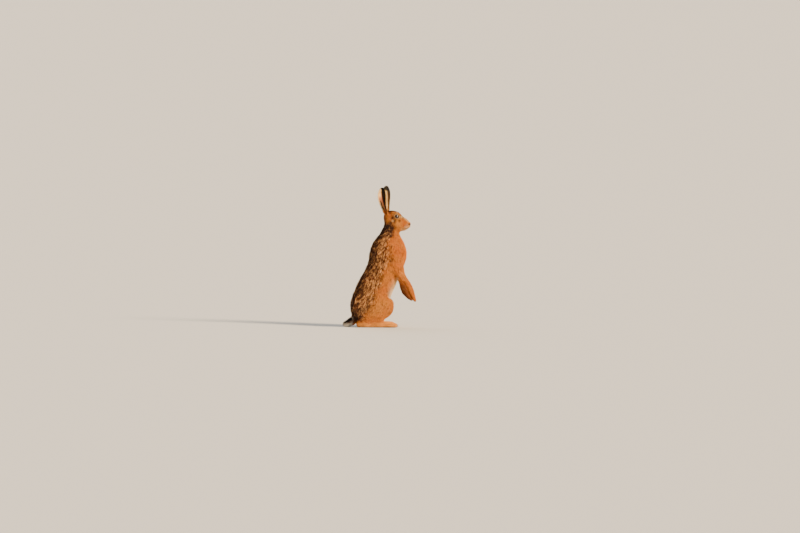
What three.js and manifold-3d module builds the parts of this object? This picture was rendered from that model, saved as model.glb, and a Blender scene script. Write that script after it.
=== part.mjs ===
// A brown hare sitting up on its haunches, life size, as a still museum model.
// Millimetres. The hare faces +X, its left side is +Y, +Z is up and the floor is Z = 0.
//
// Flesh and coat together are one smooth form. Strings of beads give its depth and width along the
// trunk, head, limbs and tail, the strings are blended, and the zero level of that blend is wrapped
// in triangles. Thin cuts then part the form where a person would name its parts.
import * as THREE from 'three';
import { mergeVertices } from 'three/addons/utils/BufferGeometryUtils.js';
import Module from 'manifold-3d';

const wasm = await Module();
wasm.setup();

// Driving sizes
const GAP = 0.3; // width of the thin cut between neighbouring parts
const EAR_LENGTH = 116;
const EYE_RADIUS = 10;
const EYE_SIDE = 22.3; // from the middle plane to the centre of an eye
const EYE_X = 103.5;
const EYE_Z = 464.5;
const LID_RADIUS = 8.4; // of the ring where the lids meet the eyeball
const LID_THICKNESS = 2;
const GROOVE_WIDTH = 1;
const GROOVE_DEPTH = 2.6;
const SIDES = { r: -1, l: 1 };

// Triangle sizes
const BODY_CELL = 16;
const THIGH_CELL = 14;
const NECK_CELL = 12;
const HEAD_CELL = 6;
const TAIL_CELL = 8;
const FOREARM_CELL = 8;
const FOREPAW_CELL = 4.6;
const HINDFOOT_CELL = 6.4;

const BEADS_PER_STATION = 7;
const FAR = 1e4;
const TOUCH = 0.002; // two vertices this near count as one place

// Stations along each string: the place of a bead, its radius seen from the side (deep) and its half
// width seen from the front (wide). A string without wide is round.
const TRUNK = [
  { x: -8, z: 90, deep: 85, wide: 60 }, // rump
  { x: 0, z: 130, deep: 78, wide: 59 }, // hips
  { x: 14.5, z: 168, deep: 75.3, wide: 54 }, // loin
  { x: 36.5, z: 212, deep: 72.6, wide: 51 }, // waist
  { x: 55.7, z: 262, deep: 73.5, wide: 53 }, // ribs
  { x: 67.8, z: 306, deep: 79, wide: 56 }, // breast
  { x: 70.5, z: 337, deep: 63.7, wide: 54 }, // shoulders
  { x: 73.6, z: 372, deep: 45.3, wide: 43 }, // root of the neck
  { x: 78.3, z: 402, deep: 36.4, wide: 35 }, // throat
  { x: 83.5, z: 430, deep: 30.2, wide: 32 }, // nape
];

const SKULL = [
  { x: 74, z: 462.2, deep: 26.3, wide: 25 }, // back of the head
  { x: 86, z: 454, deep: 35.5, wide: 30 },
  { x: 91, z: 442.5, deep: 38.2, wide: 31 }, // brain case and cheeks
  { x: 110, z: 435.2, deep: 32.8, wide: 28 },
  { x: 127, z: 432.8, deep: 26.4, wide: 22 }, // root of the muzzle
  { x: 139.3, z: 429.5, deep: 17.8, wide: 17 },
  { x: 150.2, z: 430.2, deep: 9.8, wide: 12 }, // tip of the muzzle
];

const NOSE_BRIDGE = [
  { x: 105.7, z: 466.4, deep: 14.1, wide: 20 },
  { x: 127, z: 451, deep: 8.4, wide: 14 },
  { x: 144, z: 440.6, deep: 8.1, wide: 11 },
  { x: 155.1, z: 432.7, deep: 6.5, wide: 8.5 }, // nose
];

const CHEEK = [
  { x: 82, z: 434, y: 12, deep: 27, wide: 19 },
  { x: 104, z: 428, y: 12, deep: 25, wide: 17 },
  { x: 124, z: 423, y: 9, deep: 18, wide: 12 },
];

const BROW = [
  { x: 94, z: 474, y: 17, deep: 11, wide: 9 },
  { x: 106, z: 474, y: 17, deep: 10, wide: 9 },
  { x: 117, z: 465, y: 14, deep: 9, wide: 8 },
];

const LIP_PAD = [
  { x: 134, z: 424, y: 7.5, deep: 12, wide: 9.5 },
  { x: 146, z: 422, y: 6.5, deep: 10.5, wide: 9 },
  { x: 153, z: 424, y: 4, deep: 8.5, wide: 6 },
];

const CHIN = [
  { x: 124, z: 414.2, deep: 9.8, wide: 12 },
  { x: 140, z: 412.9, deep: 7.2, wide: 7.5 },
];

const UPPER_ARM = [
  { x: 88, z: 318, y: 34, deep: 34, wide: 20 }, // shoulder blade
  { x: 100, z: 284, y: 38, deep: 30, wide: 18 },
  { x: 109, z: 252, y: 37, deep: 25, wide: 17 },
  { x: 115, z: 232, y: 34, deep: 21, wide: 17 }, // elbow
];

// The right forearm hangs ahead of the left one.
const FOREARM = {
  r: [
    { x: 112, z: 232, y: 33, deep: 18, wide: 17 },
    { x: 128, z: 211, y: 31, deep: 16, wide: 14.5 },
    { x: 138.6, z: 199, y: 29, deep: 13, wide: 13 },
    { x: 149, z: 186, y: 27, deep: 11.7, wide: 12 },
    { x: 158, z: 166, y: 25, deep: 11.4, wide: 11 },
    { x: 162.5, z: 153.5, y: 23, deep: 10.8, wide: 10.5 }, // wrist
  ],
  l: [
    { x: 112, z: 232, y: 33, deep: 19, wide: 17 },
    { x: 117, z: 208, y: 31, deep: 15, wide: 14.5 },
    { x: 124, z: 186, y: 28, deep: 13, wide: 12.5 },
    { x: 131, z: 165, y: 25, deep: 12, wide: 11 },
    { x: 137, z: 148, y: 23, deep: 11.4, wide: 10.5 },
  ],
};

// A forepaw from wrist to toes, measured from the wrist. The left one swings further forwards.
const FOREPAW = [
  { x: 0, z: 0, y: 0, deep: 10.8, wide: 10.5 },
  { x: 6.5, z: -17, y: 0, deep: 9.2, wide: 11.5 },
  { x: 12, z: -30, y: 0, deep: 7.2, wide: 11 },
];
const FOREPAW_TOES = 4;
const FOREPAW_TOE = { reach: 13, drop: 29, length: 13, deep: 5, wide: 3.9, pitch: 5.4 };
const PAW_SWING = { r: 0, l: 17 };

const THIGH = [
  { x: -34, z: 92, y: 40, deep: 50, wide: 24 },
  { x: -2, z: 90, y: 43, deep: 60, wide: 26 },
  { x: 30, z: 88, y: 45, deep: 54, wide: 25 },
  { x: 58, z: 90, y: 46, deep: 37, wide: 21 }, // knee
];

const SHANK = [
  { x: 56, z: 72, y: 47, deep: 30, wide: 18 },
  { x: 24, z: 50, y: 47, deep: 30, wide: 18 },
  { x: -24, z: 32, y: 45, deep: 24, wide: 16 },
  { x: -46, z: 21, y: 44, deep: 18, wide: 13 }, // heel
];

const HINDFOOT = [
  { x: -52, z: 13, y: 44, deep: 14.5, wide: 12 },
  { x: -20, z: 11, y: 45, deep: 12.5, wide: 12 },
  { x: 30, z: 10.5, y: 48, deep: 12, wide: 13 },
  { x: 66, z: 10.5, y: 50.5, deep: 12, wide: 16 },
  { x: 84, z: 9, y: 52, deep: 10.5, wide: 15.5 },
];
const HINDFOOT_TOES = 4;
const HINDFOOT_TOE = { x: 88, z: 7.6, y: 52, length: 16, deep: 8, wide: 5, pitch: 7.6, splay: 0.07 };

const TAIL = [
  { x: -62, z: 42, deep: 19, wide: 19 },
  { x: -80, z: 27, deep: 18, wide: 18 },
  { x: -98, z: 16.5, deep: 16.5, wide: 16 },
  { x: -112, z: 11.5, deep: 12, wide: 11 },
];

// The cup of an ear from its root to its tip: radius of the curl, how far the curl reaches round to
// each side in degrees, and the thickness of the wall.
const EAR = [
  { curl: 7.5, reach: 150, wall: 4.5 },
  { curl: 8.3, reach: 138, wall: 4 },
  { curl: 12, reach: 110, wall: 3.4 },
  { curl: 16.2, reach: 92, wall: 3 },
  { curl: 16.8, reach: 84, wall: 2.8 },
  { curl: 13.5, reach: 76, wall: 2.5 },
  { curl: 9, reach: 68, wall: 2.2 },
  { curl: 2.5, reach: 60, wall: 1.6 },
];
const EAR_RIM = 0.45; // thickness of the rim as a share of the wall
const EAR_ACROSS = 10;
const EAR_ALONG = 13;
// Root of each ear, its lean backwards, outwards and turn of its opening in degrees, and how far it
// bows backwards halfway up.
const EAR_PLACE = {
  r: { x: 60, y: 14.5, z: 472, back: 9, out: 6, turn: 8, bow: 7.5 },
  l: { x: 66, y: 14.5, z: 477, back: 2.5, out: 5, turn: 12, bow: 1.5 },
};

// Bends a short list of stations into a smooth run of values.
function along(stations, read) {
  return new THREE.CatmullRomCurve3(stations.map(read), false, 'centripetal');
}

// An ellipsoid as a bead: a signed distance that is true near its surface.
function bead(centre, radii) {
  return (p) => {
    const x = (p.x - centre.x) / radii.x;
    const y = (p.y - centre.y) / radii.y;
    const z = (p.z - centre.z) / radii.z;
    const reach = Math.sqrt(x * x + y * y + z * z);
    const slope = Math.sqrt((x / radii.x) ** 2 + (y / radii.y) ** 2 + (z / radii.z) ** 2);
    return slope > 0 ? (reach * (reach - 1)) / slope : -Math.min(radii.x, radii.y, radii.z);
  };
}

// A string of beads through its stations, on one side of the body where they stand off the middle.
function string(stations, side = 1) {
  const centres = along(stations, (s) => new THREE.Vector3(s.x, side * (s.y ?? 0), s.z));
  const radii = along(stations, (s) => new THREE.Vector3(s.deep, s.wide ?? s.deep, s.deep));
  const count = (stations.length - 1) * BEADS_PER_STATION;
  const beads = [];
  for (let i = 0; i <= count; i += 1) {
    const size = radii.getPoint(i / count);
    beads.push(bead(centres.getPoint(i / count), size));
  }
  return (p) => beads.reduce((least, one) => Math.min(least, one(p)), FAR);
}

function blended(a, b, width) {
  const near = Math.max(width - Math.abs(a - b), 0) / width;
  return Math.min(a, b) - (near * near * width) / 4;
}

// Joins forms one after another, each blended into those before it over its own width.
function joined(forms) {
  return (p) => forms.reduce((sum, form) => blended(sum, form.field(p), form.blend), FAR);
}

function onBothSides(stations, blend) {
  return Object.values(SIDES).map((side) => ({ field: string(stations, side), blend }));
}

const headForms = [
  { field: string(SKULL), blend: 10 },
  { field: string(NOSE_BRIDGE), blend: 10 },
  ...onBothSides(CHEEK, 10),
  ...onBothSides(BROW, 6),
  { field: string(CHIN), blend: 4 },
  ...onBothSides(LIP_PAD, 3),
];

const hindlegForms = [...onBothSides(THIGH, 14), ...onBothSides(SHANK, 10), ...onBothSides(HINDFOOT, 6)];

// Each toe is a short string that leaves the foot beside the next one.
function hindToe(side, index) {
  const off = index - (HINDFOOT_TOES - 1) / 2;
  const { x, z, y, length, deep, wide, pitch, splay } = HINDFOOT_TOE;
  const reach = length - 3.4 * Math.abs(off - 0.2);
  return string(
    [
      { x: x - 6, z, y: y + off * pitch, deep, wide },
      { x: x + reach, z: z - 1.4, y: y + off * pitch + splay * off * reach, deep: deep * 0.8, wide },
    ],
    side,
  );
}

// A station of a forepaw, swung about its wrist.
function onPaw(name, { x, z, ...rest }) {
  const wrist = FOREARM[name].at(-1);
  const swing = THREE.MathUtils.degToRad(PAW_SWING[name]);
  return {
    ...rest,
    x: wrist.x + x * Math.cos(swing) - z * Math.sin(swing),
    z: wrist.z + x * Math.sin(swing) + z * Math.cos(swing),
    y: wrist.y + rest.y,
  };
}

function foreToe(name, index) {
  const off = index - (FOREPAW_TOES - 1) / 2;
  const { reach, drop, length, deep, wide, pitch } = FOREPAW_TOE;
  const run = length - 1.4 * Math.abs(off);
  return string(
    [
      { x: reach - 3, z: 6 - drop, y: off * pitch * 0.8, deep, wide },
      { x: reach + run * 0.42, z: -drop - run, y: off * pitch, deep: deep * 0.8, wide },
    ].map((station) => onPaw(name, station)),
    SIDES[name],
  );
}

const toeNumbers = (count) => Array.from({ length: count }, (_, index) => index);

const forelegForms = Object.entries(SIDES).flatMap(([name, side]) => [
  { field: string(UPPER_ARM, side), blend: 12 },
  { field: string(FOREARM[name], side), blend: 8 },
  { field: string(FOREPAW.map((station) => onPaw(name, station)), side), blend: 3 },
  ...toeNumbers(FOREPAW_TOES).map((index) => ({ field: foreToe(name, index), blend: 2.6 })),
]);

const hindToeForms = Object.values(SIDES).flatMap((side) =>
  toeNumbers(HINDFOOT_TOES).map((index) => ({ field: hindToe(side, index), blend: 3 })),
);

// The whole hare without its ears and eyes. The floor cuts its soles and tail to small flats.
const body = joined([
  { field: string(TRUNK), blend: 1 },
  ...forelegForms,
  ...hindlegForms,
  ...hindToeForms,
  { field: string(TAIL), blend: 8 },
  ...headForms.map((form, i) => (i === 0 ? { ...form, blend: 9 } : form)),
]);


function slopeOf(field, p) {
  const step = 0.05;
  const here = field(p);
  const slope = new THREE.Vector3();
  for (const axis of ['x', 'y', 'z']) {
    const beside = p.clone();
    beside[axis] += step;
    slope[axis] = (field(beside) - here) / step;
  }
  return { here, slope };
}

// Wraps the zero level of a field inside a box: one vertex in each cell that the level crosses, one
// pair of triangles across each grid edge that it crosses. The box closes the form off.
function wrapped(field, box, cell) {
  const size = box.getSize(new THREE.Vector3());
  const [nx, ny, nz] = ['x', 'y', 'z'].map((axis) => Math.ceil(size[axis] / cell) + 1);
  const middle = box.getCenter(new THREE.Vector3());
  const low = new THREE.Vector3(nx - 1, ny - 1, nz - 1).multiplyScalar(-cell / 2).add(middle);
  const at = (i, j, k) => (i * ny + j) * nz + k;
  const value = new Float32Array(nx * ny * nz);
  const point = new THREE.Vector3();
  for (let i = 0; i < nx; i += 1)
    for (let j = 0; j < ny; j += 1)
      for (let k = 0; k < nz; k += 1) {
        const edge = i === 0 || j === 0 || k === 0 || i === nx - 1 || j === ny - 1 || k === nz - 1;
        point.set(i, j, k).multiplyScalar(cell).add(low);
        value[at(i, j, k)] = edge ? Math.max(cell, field(point)) : field(point);
      }

  const steps = [[1, 0, 0], [0, 1, 0], [0, 0, 1]];
  const corners = [0, 1].flatMap((a) => [0, 1].flatMap((b) => [0, 1].map((c) => [a, b, c])));
  const vertices = [];
  const vertexOf = new Map();
  for (let i = 0; i < nx - 1; i += 1)
    for (let j = 0; j < ny - 1; j += 1)
      for (let k = 0; k < nz - 1; k += 1) {
        const sum = new THREE.Vector3();
        let crossings = 0;
        for (const [a, b, c] of corners)
          for (const [da, db, dc] of steps) {
            if (a + da > 1 || b + db > 1 || c + dc > 1) continue;
            const start = value[at(i + a, j + b, k + c)];
            const end = value[at(i + a + da, j + b + db, k + c + dc)];
            if (start < 0 === end < 0) continue;
            const share = start / (start - end);
            sum.add(point.set(a + da * share, b + db * share, c + dc * share));
            crossings += 1;
          }
        if (!crossings) continue;
        const vertex = sum.divideScalar(crossings).add(point.set(i, j, k)).multiplyScalar(cell).add(low);
        const inner = i > 0 && j > 0 && k > 0 && i < nx - 2 && j < ny - 2 && k < nz - 2;
        if (inner) {
          const { here, slope } = slopeOf(field, vertex);
          vertex.addScaledVector(slope, -here / Math.max(slope.lengthSq(), 0.25));
        }
        vertexOf.set(at(i, j, k), vertices.length / 3);
        vertices.push(vertex.x, vertex.y, vertex.z);
      }

  const triangles = [];
  for (let i = 0; i < nx - 1; i += 1)
    for (let j = 0; j < ny - 1; j += 1)
      for (let k = 0; k < nz - 1; k += 1)
        steps.forEach((step, axis) => {
          const index = [i, j, k];
          if (!index[(axis + 1) % 3] || !index[(axis + 2) % 3]) return;
          const here = value[at(i, j, k)] < 0;
          const there = value[at(i + step[0], j + step[1], k + step[2])] < 0;
          if (here === there) return;
          const u = steps[(axis + 1) % 3];
          const v = steps[(axis + 2) % 3];
          const ring = [[0, 0], [1, 0], [1, 1], [0, 1]].map(([s, t]) =>
            vertexOf.get(at(i - s * u[0] - t * v[0], j - s * u[1] - t * v[1], k - s * u[2] - t * v[2])),
          );
          if (!here) ring.reverse();
          triangles.push(ring[0], ring[1], ring[2], ring[0], ring[2], ring[3]);
        });
  return new wasm.Manifold(
    new wasm.Mesh({
      numProp: 3,
      vertProperties: new Float32Array(vertices),
      triVerts: new Uint32Array(triangles),
    }),
  );
}

// A three.js geometry as a solid, and back.
function solidOf(geometry) {
  const bare = geometry.clone();
  bare.deleteAttribute('normal');
  bare.deleteAttribute('uv');
  const closed = mergeVertices(bare, 1e-4);
  return new wasm.Manifold(
    new wasm.Mesh({
      numProp: 3,
      vertProperties: new Float32Array(closed.attributes.position.array),
      triVerts: new Uint32Array(closed.index.array),
    }),
  );
}

// Cuts can leave two vertices at one place. The later one is drawn a hair towards its neighbours, so
// that no two edges coincide.
function apart(places, triangles) {
  const drift = places.map(() => new THREE.Vector3());
  for (let i = 0; i < triangles.length; i += 3)
    for (let corner = 0; corner < 3; corner += 1) {
      const here = triangles[i + corner];
      const next = triangles[i + ((corner + 1) % 3)];
      drift[here].add(places[next]).sub(places[here]);
    }
  const order = places.map((_, i) => i).sort((a, b) => places[a].x - places[b].x);
  order.forEach((first, rank) => {
    for (let other = rank + 1; other < order.length; other += 1) {
      const second = order[other];
      if (places[second].x - places[first].x > TOUCH) break;
      if (places[first].distanceTo(places[second]) < TOUCH)
        places[second].addScaledVector(drift[second].normalize(), 10 * TOUCH);
    }
  });
}

function geometryOf(solid) {
  const { vertProperties, triVerts, numProp, numVert } = solid.getMesh();
  const places = Array.from({ length: numVert }, (_, i) => new THREE.Vector3().fromArray(vertProperties, i * numProp));
  apart(places, triVerts);
  const geometry = new THREE.BufferGeometry().setFromPoints(places);
  geometry.setIndex(new THREE.BufferAttribute(new Uint32Array(triVerts), 1));
  geometry.computeVertexNormals();
  return geometry;
}

function largest(solid) {
  return solid.decompose().reduce((best, one) => (one.volume() > best.volume() ? one : best));
}

// Regions that the cuts follow. Each takes a margin, so that a neighbour is cut back by the gap.
const block = (low, high) => (margin) => {
  const size = new THREE.Vector3(...high).sub(new THREE.Vector3(...low)).addScalar(2 * margin);
  const middle = new THREE.Vector3(...low).add(new THREE.Vector3(...high)).divideScalar(2);
  return solidOf(new THREE.BoxGeometry(size.x, size.y, size.z).translate(middle.x, middle.y, middle.z));
};

// All that lies above a plane across the hare, which runs from a point on its back to one in front.
const above = (back, front) => (margin) => {
  const reach = 700;
  const tilt = Math.atan2(front[1] - back[1], front[0] - back[0]);
  const geometry = new THREE.BoxGeometry(reach, reach, reach);
  geometry.translate(0, 0, reach / 2 - margin);
  geometry.rotateY(-tilt);
  geometry.translate((back[0] + front[0]) / 2, 0, (back[1] + front[1]) / 2);
  return solidOf(geometry);
};

// A flattened ball, turned about the Y axis, for a limb that grows out of the trunk.
const pod = (centre, radii, lean, side) => (margin) => {
  const geometry = new THREE.SphereGeometry(1, 16, 10);
  geometry.scale(radii[0] + margin, radii[1] + margin, radii[2] + margin);
  geometry.rotateY(THREE.MathUtils.degToRad(lean));
  geometry.translate(centre[0], side * centre[1], centre[2]);
  return solidOf(geometry);
};

// An oval disc on one flank, from the groin outwards.
const flankDisc = (centre, radii, inner, side) => (margin) => {
  const depth = 80;
  const geometry = new THREE.CylinderGeometry(1, 1, depth, 28);
  geometry.scale(radii[0] + margin, 1, radii[1] + margin);
  geometry.translate(centre[0], side * (inner - margin + depth / 2), centre[1]);
  return solidOf(geometry);
};

const NECK_CUT = above([46, 424], [120, 397]);
const SHOULDER_CUT = above([10, 364], [130, 366]);
const WAIST_CUT = above([-34, 242], [104, 182]);
const HIP_CUT = above([-78, 160], [84, 120]);
const EVERYWHERE = above([-100, -400], [100, -400]);

// The pod that each foreleg fills.
const ARM_POD = {
  r: { x: 160, z: 158, deep: 28, lean: -29 },
  l: { x: 137, z: 163, deep: 24, lean: -22 },
};

function limbParts(name, side) {
  const wrist = FOREARM[name].at(-1);
  const pastWrist = above([wrist.x - 20, wrist.z - 16], [wrist.x + 16, wrist.z + 1]);
  const { x, z, deep, lean } = ARM_POD[name];
  const arm = pod([x, 31, z], [deep, 27, 140], lean, side);
  return [
    {
      name: `hindfoot_${name}`,
      region: block([-80, Math.min(16 * side, 90 * side), -20], [130, Math.max(16 * side, 90 * side), 22]),
      box: [[-76, 20 * side, -8], [118, 84 * side, 30]],
      cell: HINDFOOT_CELL,
      tone: 'sole',
    },
    {
      name: `hindleg_${name}`,
      region: flankDisc([20, 80], [79, 66], 33, side),
      box: [[-70, 26 * side, 4], [112, 84 * side, 156]],
      cell: THIGH_CELL,
      tone: 'flank',
    },
    {
      name: `forepaw_${name}`,
      region: (margin) => arm(margin).subtract(pastWrist(-margin)),
      box: [[wrist.x - 24, 4 * side, wrist.z - 60], [wrist.x + 44, 44 * side, wrist.z + 16]],
      cell: FOREPAW_CELL,
      tone: 'flank',
    },
    {
      name: `foreleg_${name}`,
      region: arm,
      box: [[70, 0, 130], [190, 64 * side, 290]],
      cell: FOREARM_CELL,
      tone: 'flank',
    },
  ];
}

const plan = [
  ...Object.entries(SIDES).flatMap(([name, side]) => limbParts(name, side)),
  {
    name: 'tail',
    region: block([-160, -40, -20], [-74, 40, 46]),
    box: [[-134, -28, -8], [-66, 28, 54]],
    cell: TAIL_CELL,
    tone: 'tail',
  },
  { name: 'head', region: NECK_CUT, box: [[36, -44, 384], [176, 44, 500]], cell: HEAD_CELL, tone: 'face' },
  { name: 'neck', region: SHOULDER_CUT, box: [[-6, -60, 350], [144, 60, 432]], cell: NECK_CELL, tone: 'breast' },
  { name: 'chest', region: WAIST_CUT, box: [[-56, -72, 168], [164, 72, 380]], cell: BODY_CELL, tone: 'breast' },
  { name: 'loin', region: HIP_CUT, box: [[-96, -76, 106], [140, 76, 256]], cell: BODY_CELL, tone: 'back' },
  { name: 'rump', region: EVERYWHERE, box: [[-106, -80, -12], [124, 80, 176]], cell: BODY_CELL, tone: 'back' },
];

const cornersOf = (box) => new THREE.Box3().setFromPoints(box.map((corner) => new THREE.Vector3(...corner)));

const FLOOR = block([-400, -400, -100], [400, 400, 0])(0);

function parted() {
  const claimed = [];
  const solids = new Map();
  for (const { name, region, box, cell } of plan) {
    let solid = wrapped(body, cornersOf(box), cell).intersect(region(0)).subtract(FLOOR);
    for (const earlier of claimed) solid = solid.subtract(earlier);
    claimed.push(region(GAP));
    solids.set(name, largest(solid));
  }
  return solids;
}

// An eye looks sideways, a little forwards and up.
function eyePlace(side) {
  return {
    centre: new THREE.Vector3(EYE_X, side * EYE_SIDE, EYE_Z),
    look: new THREE.Vector3(0.24, side, 0.12).normalize(),
  };
}

function eyeball(side, radius) {
  const { centre } = eyePlace(side);
  return solidOf(new THREE.SphereGeometry(radius, 18, 12).translate(centre.x, centre.y, centre.z));
}

// The lids are one almond ring that lies on the eyeball.
function lids(side) {
  const { centre, look } = eyePlace(side);
  const ring = new THREE.TorusGeometry(LID_RADIUS, LID_THICKNESS, 6, 22);
  ring.scale(1.12, 0.9, 1);
  ring.rotateZ(side * THREE.MathUtils.degToRad(12));
  const turn = new THREE.Quaternion().setFromUnitVectors(new THREE.Vector3(0, 0, 1), look);
  const rise = Math.sqrt(EYE_RADIUS ** 2 - LID_RADIUS ** 2);
  ring.applyQuaternion(turn);
  ring.translate(centre.x + look.x * rise, centre.y + look.y * rise, centre.z + look.z * rise);
  return solidOf(ring);
}

// A thin sheet across the muzzle that follows a line seen from the side.
function sheet(line, halfWidth) {
  const half = GROOVE_WIDTH / 2;
  const points = line.map(([x, z]) => new THREE.Vector2(x, z));
  const upper = new THREE.SplineCurve(points).getPoints(12);
  const lower = upper.map((p) => new THREE.Vector2(p.x, p.y - 2 * half)).reverse();
  const shape = new THREE.Shape([...upper, ...lower]);
  const geometry = new THREE.ExtrudeGeometry(shape, { depth: 2 * halfWidth, bevelEnabled: false });
  geometry.rotateX(Math.PI / 2);
  geometry.translate(0, halfWidth, 0);
  return solidOf(geometry);
}

const MOUTH_LINE = [[131, 413.5], [139, 416.5], [148, 416], [157, 417.5], [168, 421]];
const NOSTRIL = { x: 160.5, y: 4.6, z: 431.5, radii: [2.6, 1.5, 3.2] };

// The line of the mouth and the cleft of the upper lip are shallow grooves, and the nostrils pits.
function muzzleCuts() {
  const muzzle = cornersOf([[110, -40, 395], [176, 40, 450]]);
  const core = wrapped((p) => body(p) + GROOVE_DEPTH, muzzle, HEAD_CELL);
  const mouth = sheet(MOUTH_LINE, 30).subtract(core);
  const cleft = block([140, -GROOVE_WIDTH / 2, 416], [176, GROOVE_WIDTH / 2, 427])(0).subtract(core);
  const nostrils = Object.values(SIDES).map((side) => {
    const pit = new THREE.SphereGeometry(1, 12, 8);
    pit.scale(...NOSTRIL.radii);
    pit.rotateY(THREE.MathUtils.degToRad(-30));
    return solidOf(pit.translate(NOSTRIL.x, side * NOSTRIL.y, NOSTRIL.z));
  });
  return [mouth, cleft, ...nostrils];
}

// An ear is a box bent into a cup: its width runs round the curl, its depth through the wall.
function ear(name, side) {
  const shell = new THREE.BoxGeometry(2, 2, 1, EAR_ACROSS, 1, EAR_ALONG);
  const run = along(EAR, (s) => new THREE.Vector3(s.curl, THREE.MathUtils.degToRad(s.reach), s.wall));
  const places = shell.attributes.position;
  for (let i = 0; i < places.count; i += 1) {
    const across = places.getX(i);
    const through = places.getY(i);
    const share = places.getZ(i) + 0.5;
    const size = run.getPoint(share);
    const angle = across * size.y;
    const thin = 1 - (1 - EAR_RIM) * across ** 4;
    const radius = size.x + (through * size.z * thin) / 2;
    const height = EAR_LENGTH * Math.sin((share * Math.PI) / 2) ** 1.12;
    places.setXYZ(i, -side * radius * Math.sin(angle), -side * radius * Math.cos(angle), height);
  }
  const { x, y, z, back, out, turn, bow } = EAR_PLACE[name];
  shell.rotateZ(THREE.MathUtils.degToRad(-side * turn));
  for (let i = 0; i < places.count; i += 1)
    places.setX(i, places.getX(i) - bow * Math.sin((Math.PI * places.getZ(i)) / EAR_LENGTH));
  shell.rotateX(THREE.MathUtils.degToRad(-side * out));
  shell.rotateY(THREE.MathUtils.degToRad(-back));
  shell.translate(x, side * y, z);
  return solidOf(shell);
}

function finished(solids) {
  const cuts = muzzleCuts();
  let head = solids.get('head');
  for (const [name, side] of Object.entries(SIDES)) {
    head = head.add(lids(side)).subtract(eyeball(side, EYE_RADIUS + GAP));
    solids.set(`eye_${name}`, eyeball(side, EYE_RADIUS));
  }
  for (const cut of cuts) head = head.subtract(cut);
  solids.set('head', largest(head));
  const { box } = plan.find(({ name }) => name === 'head');
  const underEars = wrapped((p) => body(p) - 1.5 * GAP, cornersOf(box), HEAD_CELL);
  for (const [name, side] of Object.entries(SIDES)) {
    solids.set(`ear_${name}`, largest(ear(name, side).subtract(underEars)));
  }
  return solids;
}

const TONES = {
  face: { color: 0xb9793f, roughness: 0.85 },
  breast: { color: 0xc07838, roughness: 0.9 },
  back: { color: 0x8a6238, roughness: 0.9 },
  flank: { color: 0xbd7c40, roughness: 0.9 },
  sole: { color: 0xb5814c, roughness: 0.9 },
  tail: { color: 0x2c241e, roughness: 0.9 },
  ear: { color: 0xa9804f, roughness: 0.8 },
  eye: { color: 0x3a1f0c, roughness: 0.08 },
};

const toneOf = Object.fromEntries(plan.map(({ name, tone }) => [name, tone]));

const hare = new THREE.Group();
for (const [name, solid] of finished(parted())) {
  const tone = toneOf[name] ?? name.split('_')[0];
  const material = new THREE.MeshStandardMaterial({ ...TONES[tone], metalness: 0 });
  const mesh = new THREE.Mesh(geometryOf(solid), material);
  mesh.name = name;
  hare.add(mesh);
}

// The origin is the middle of the hare's outer box, on the floor.
const bounds = new THREE.Box3().setFromObject(hare);
const centre = bounds.getCenter(new THREE.Vector3());
hare.position.set(-centre.x, -centre.y, -bounds.min.z);

export default hare;
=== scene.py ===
"""A brown hare sitting up, life size: one skin over its solids, and a coat of solid tufts over the skin."""

import math

import bmesh
import bpy
import numpy as np
from mathutils import Matrix, Vector
from mathutils.bvhtree import BVHTree


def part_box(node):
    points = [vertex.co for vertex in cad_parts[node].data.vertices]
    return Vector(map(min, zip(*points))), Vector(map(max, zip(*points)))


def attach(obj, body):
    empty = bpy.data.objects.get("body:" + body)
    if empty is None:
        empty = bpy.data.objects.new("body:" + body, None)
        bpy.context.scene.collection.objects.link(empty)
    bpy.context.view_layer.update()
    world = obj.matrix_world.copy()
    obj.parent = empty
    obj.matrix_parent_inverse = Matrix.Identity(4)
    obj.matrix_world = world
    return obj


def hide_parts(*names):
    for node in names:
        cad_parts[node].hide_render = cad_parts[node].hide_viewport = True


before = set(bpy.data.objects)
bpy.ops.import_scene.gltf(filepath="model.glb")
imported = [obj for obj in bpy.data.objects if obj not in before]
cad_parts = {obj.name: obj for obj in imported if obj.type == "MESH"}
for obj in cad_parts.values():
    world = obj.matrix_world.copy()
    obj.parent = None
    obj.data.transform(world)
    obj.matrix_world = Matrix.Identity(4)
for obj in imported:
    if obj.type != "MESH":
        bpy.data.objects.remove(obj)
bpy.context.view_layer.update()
rng = np.random.default_rng(2024)

MM = 0.001
SIDES = {"r": -1, "l": 1}
FLESH = [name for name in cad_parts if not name.startswith("eye")]

# Places on the hare are millimetres ahead of its hips, to the left of its middle plane and above the
# floor. The right eye's box fixes where the hips are in the frame.
eye_low, eye_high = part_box("eye_r")
EYE_X = 103.5
EYE_Y = -(eye_low.y + eye_high.y) / 2 / MM
EYE_Z = (eye_low.z + eye_high.z) / 2 / MM
EYE_RADIUS = (eye_high.z - eye_low.z) / 2 / MM
HIPS = (eye_low.x + eye_high.x) / 2 - EYE_X * MM

# Skin, in millimetres, shares and rounds of smoothing
CUT_CLOSING = 0.45  # each solid swells by this much, so that the thin cuts between them close
CLOSING_UNDONE = 0.8  # share of that swelling that is taken off again
SKIN_CELL = 1.25
SKIN_KEPT = 0.25  # share of the cells that is left once the body is thinned out
HEAD_BASE = 396  # the skin keeps its fine cells above this height
SMOOTHING = 26
SMOOTH_SHARE = 0.5  # how far a point moves in one round, and how much less it moves on small parts
SMALL_PARTS_LESS = 0.4
DEPTH_SMOOTHING = 20
OUTWARD_SMOOTHING = 4
FOREARM_SWELL = 2.2  # how much the furred forearms and paws stand out past their lean solids

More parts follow.
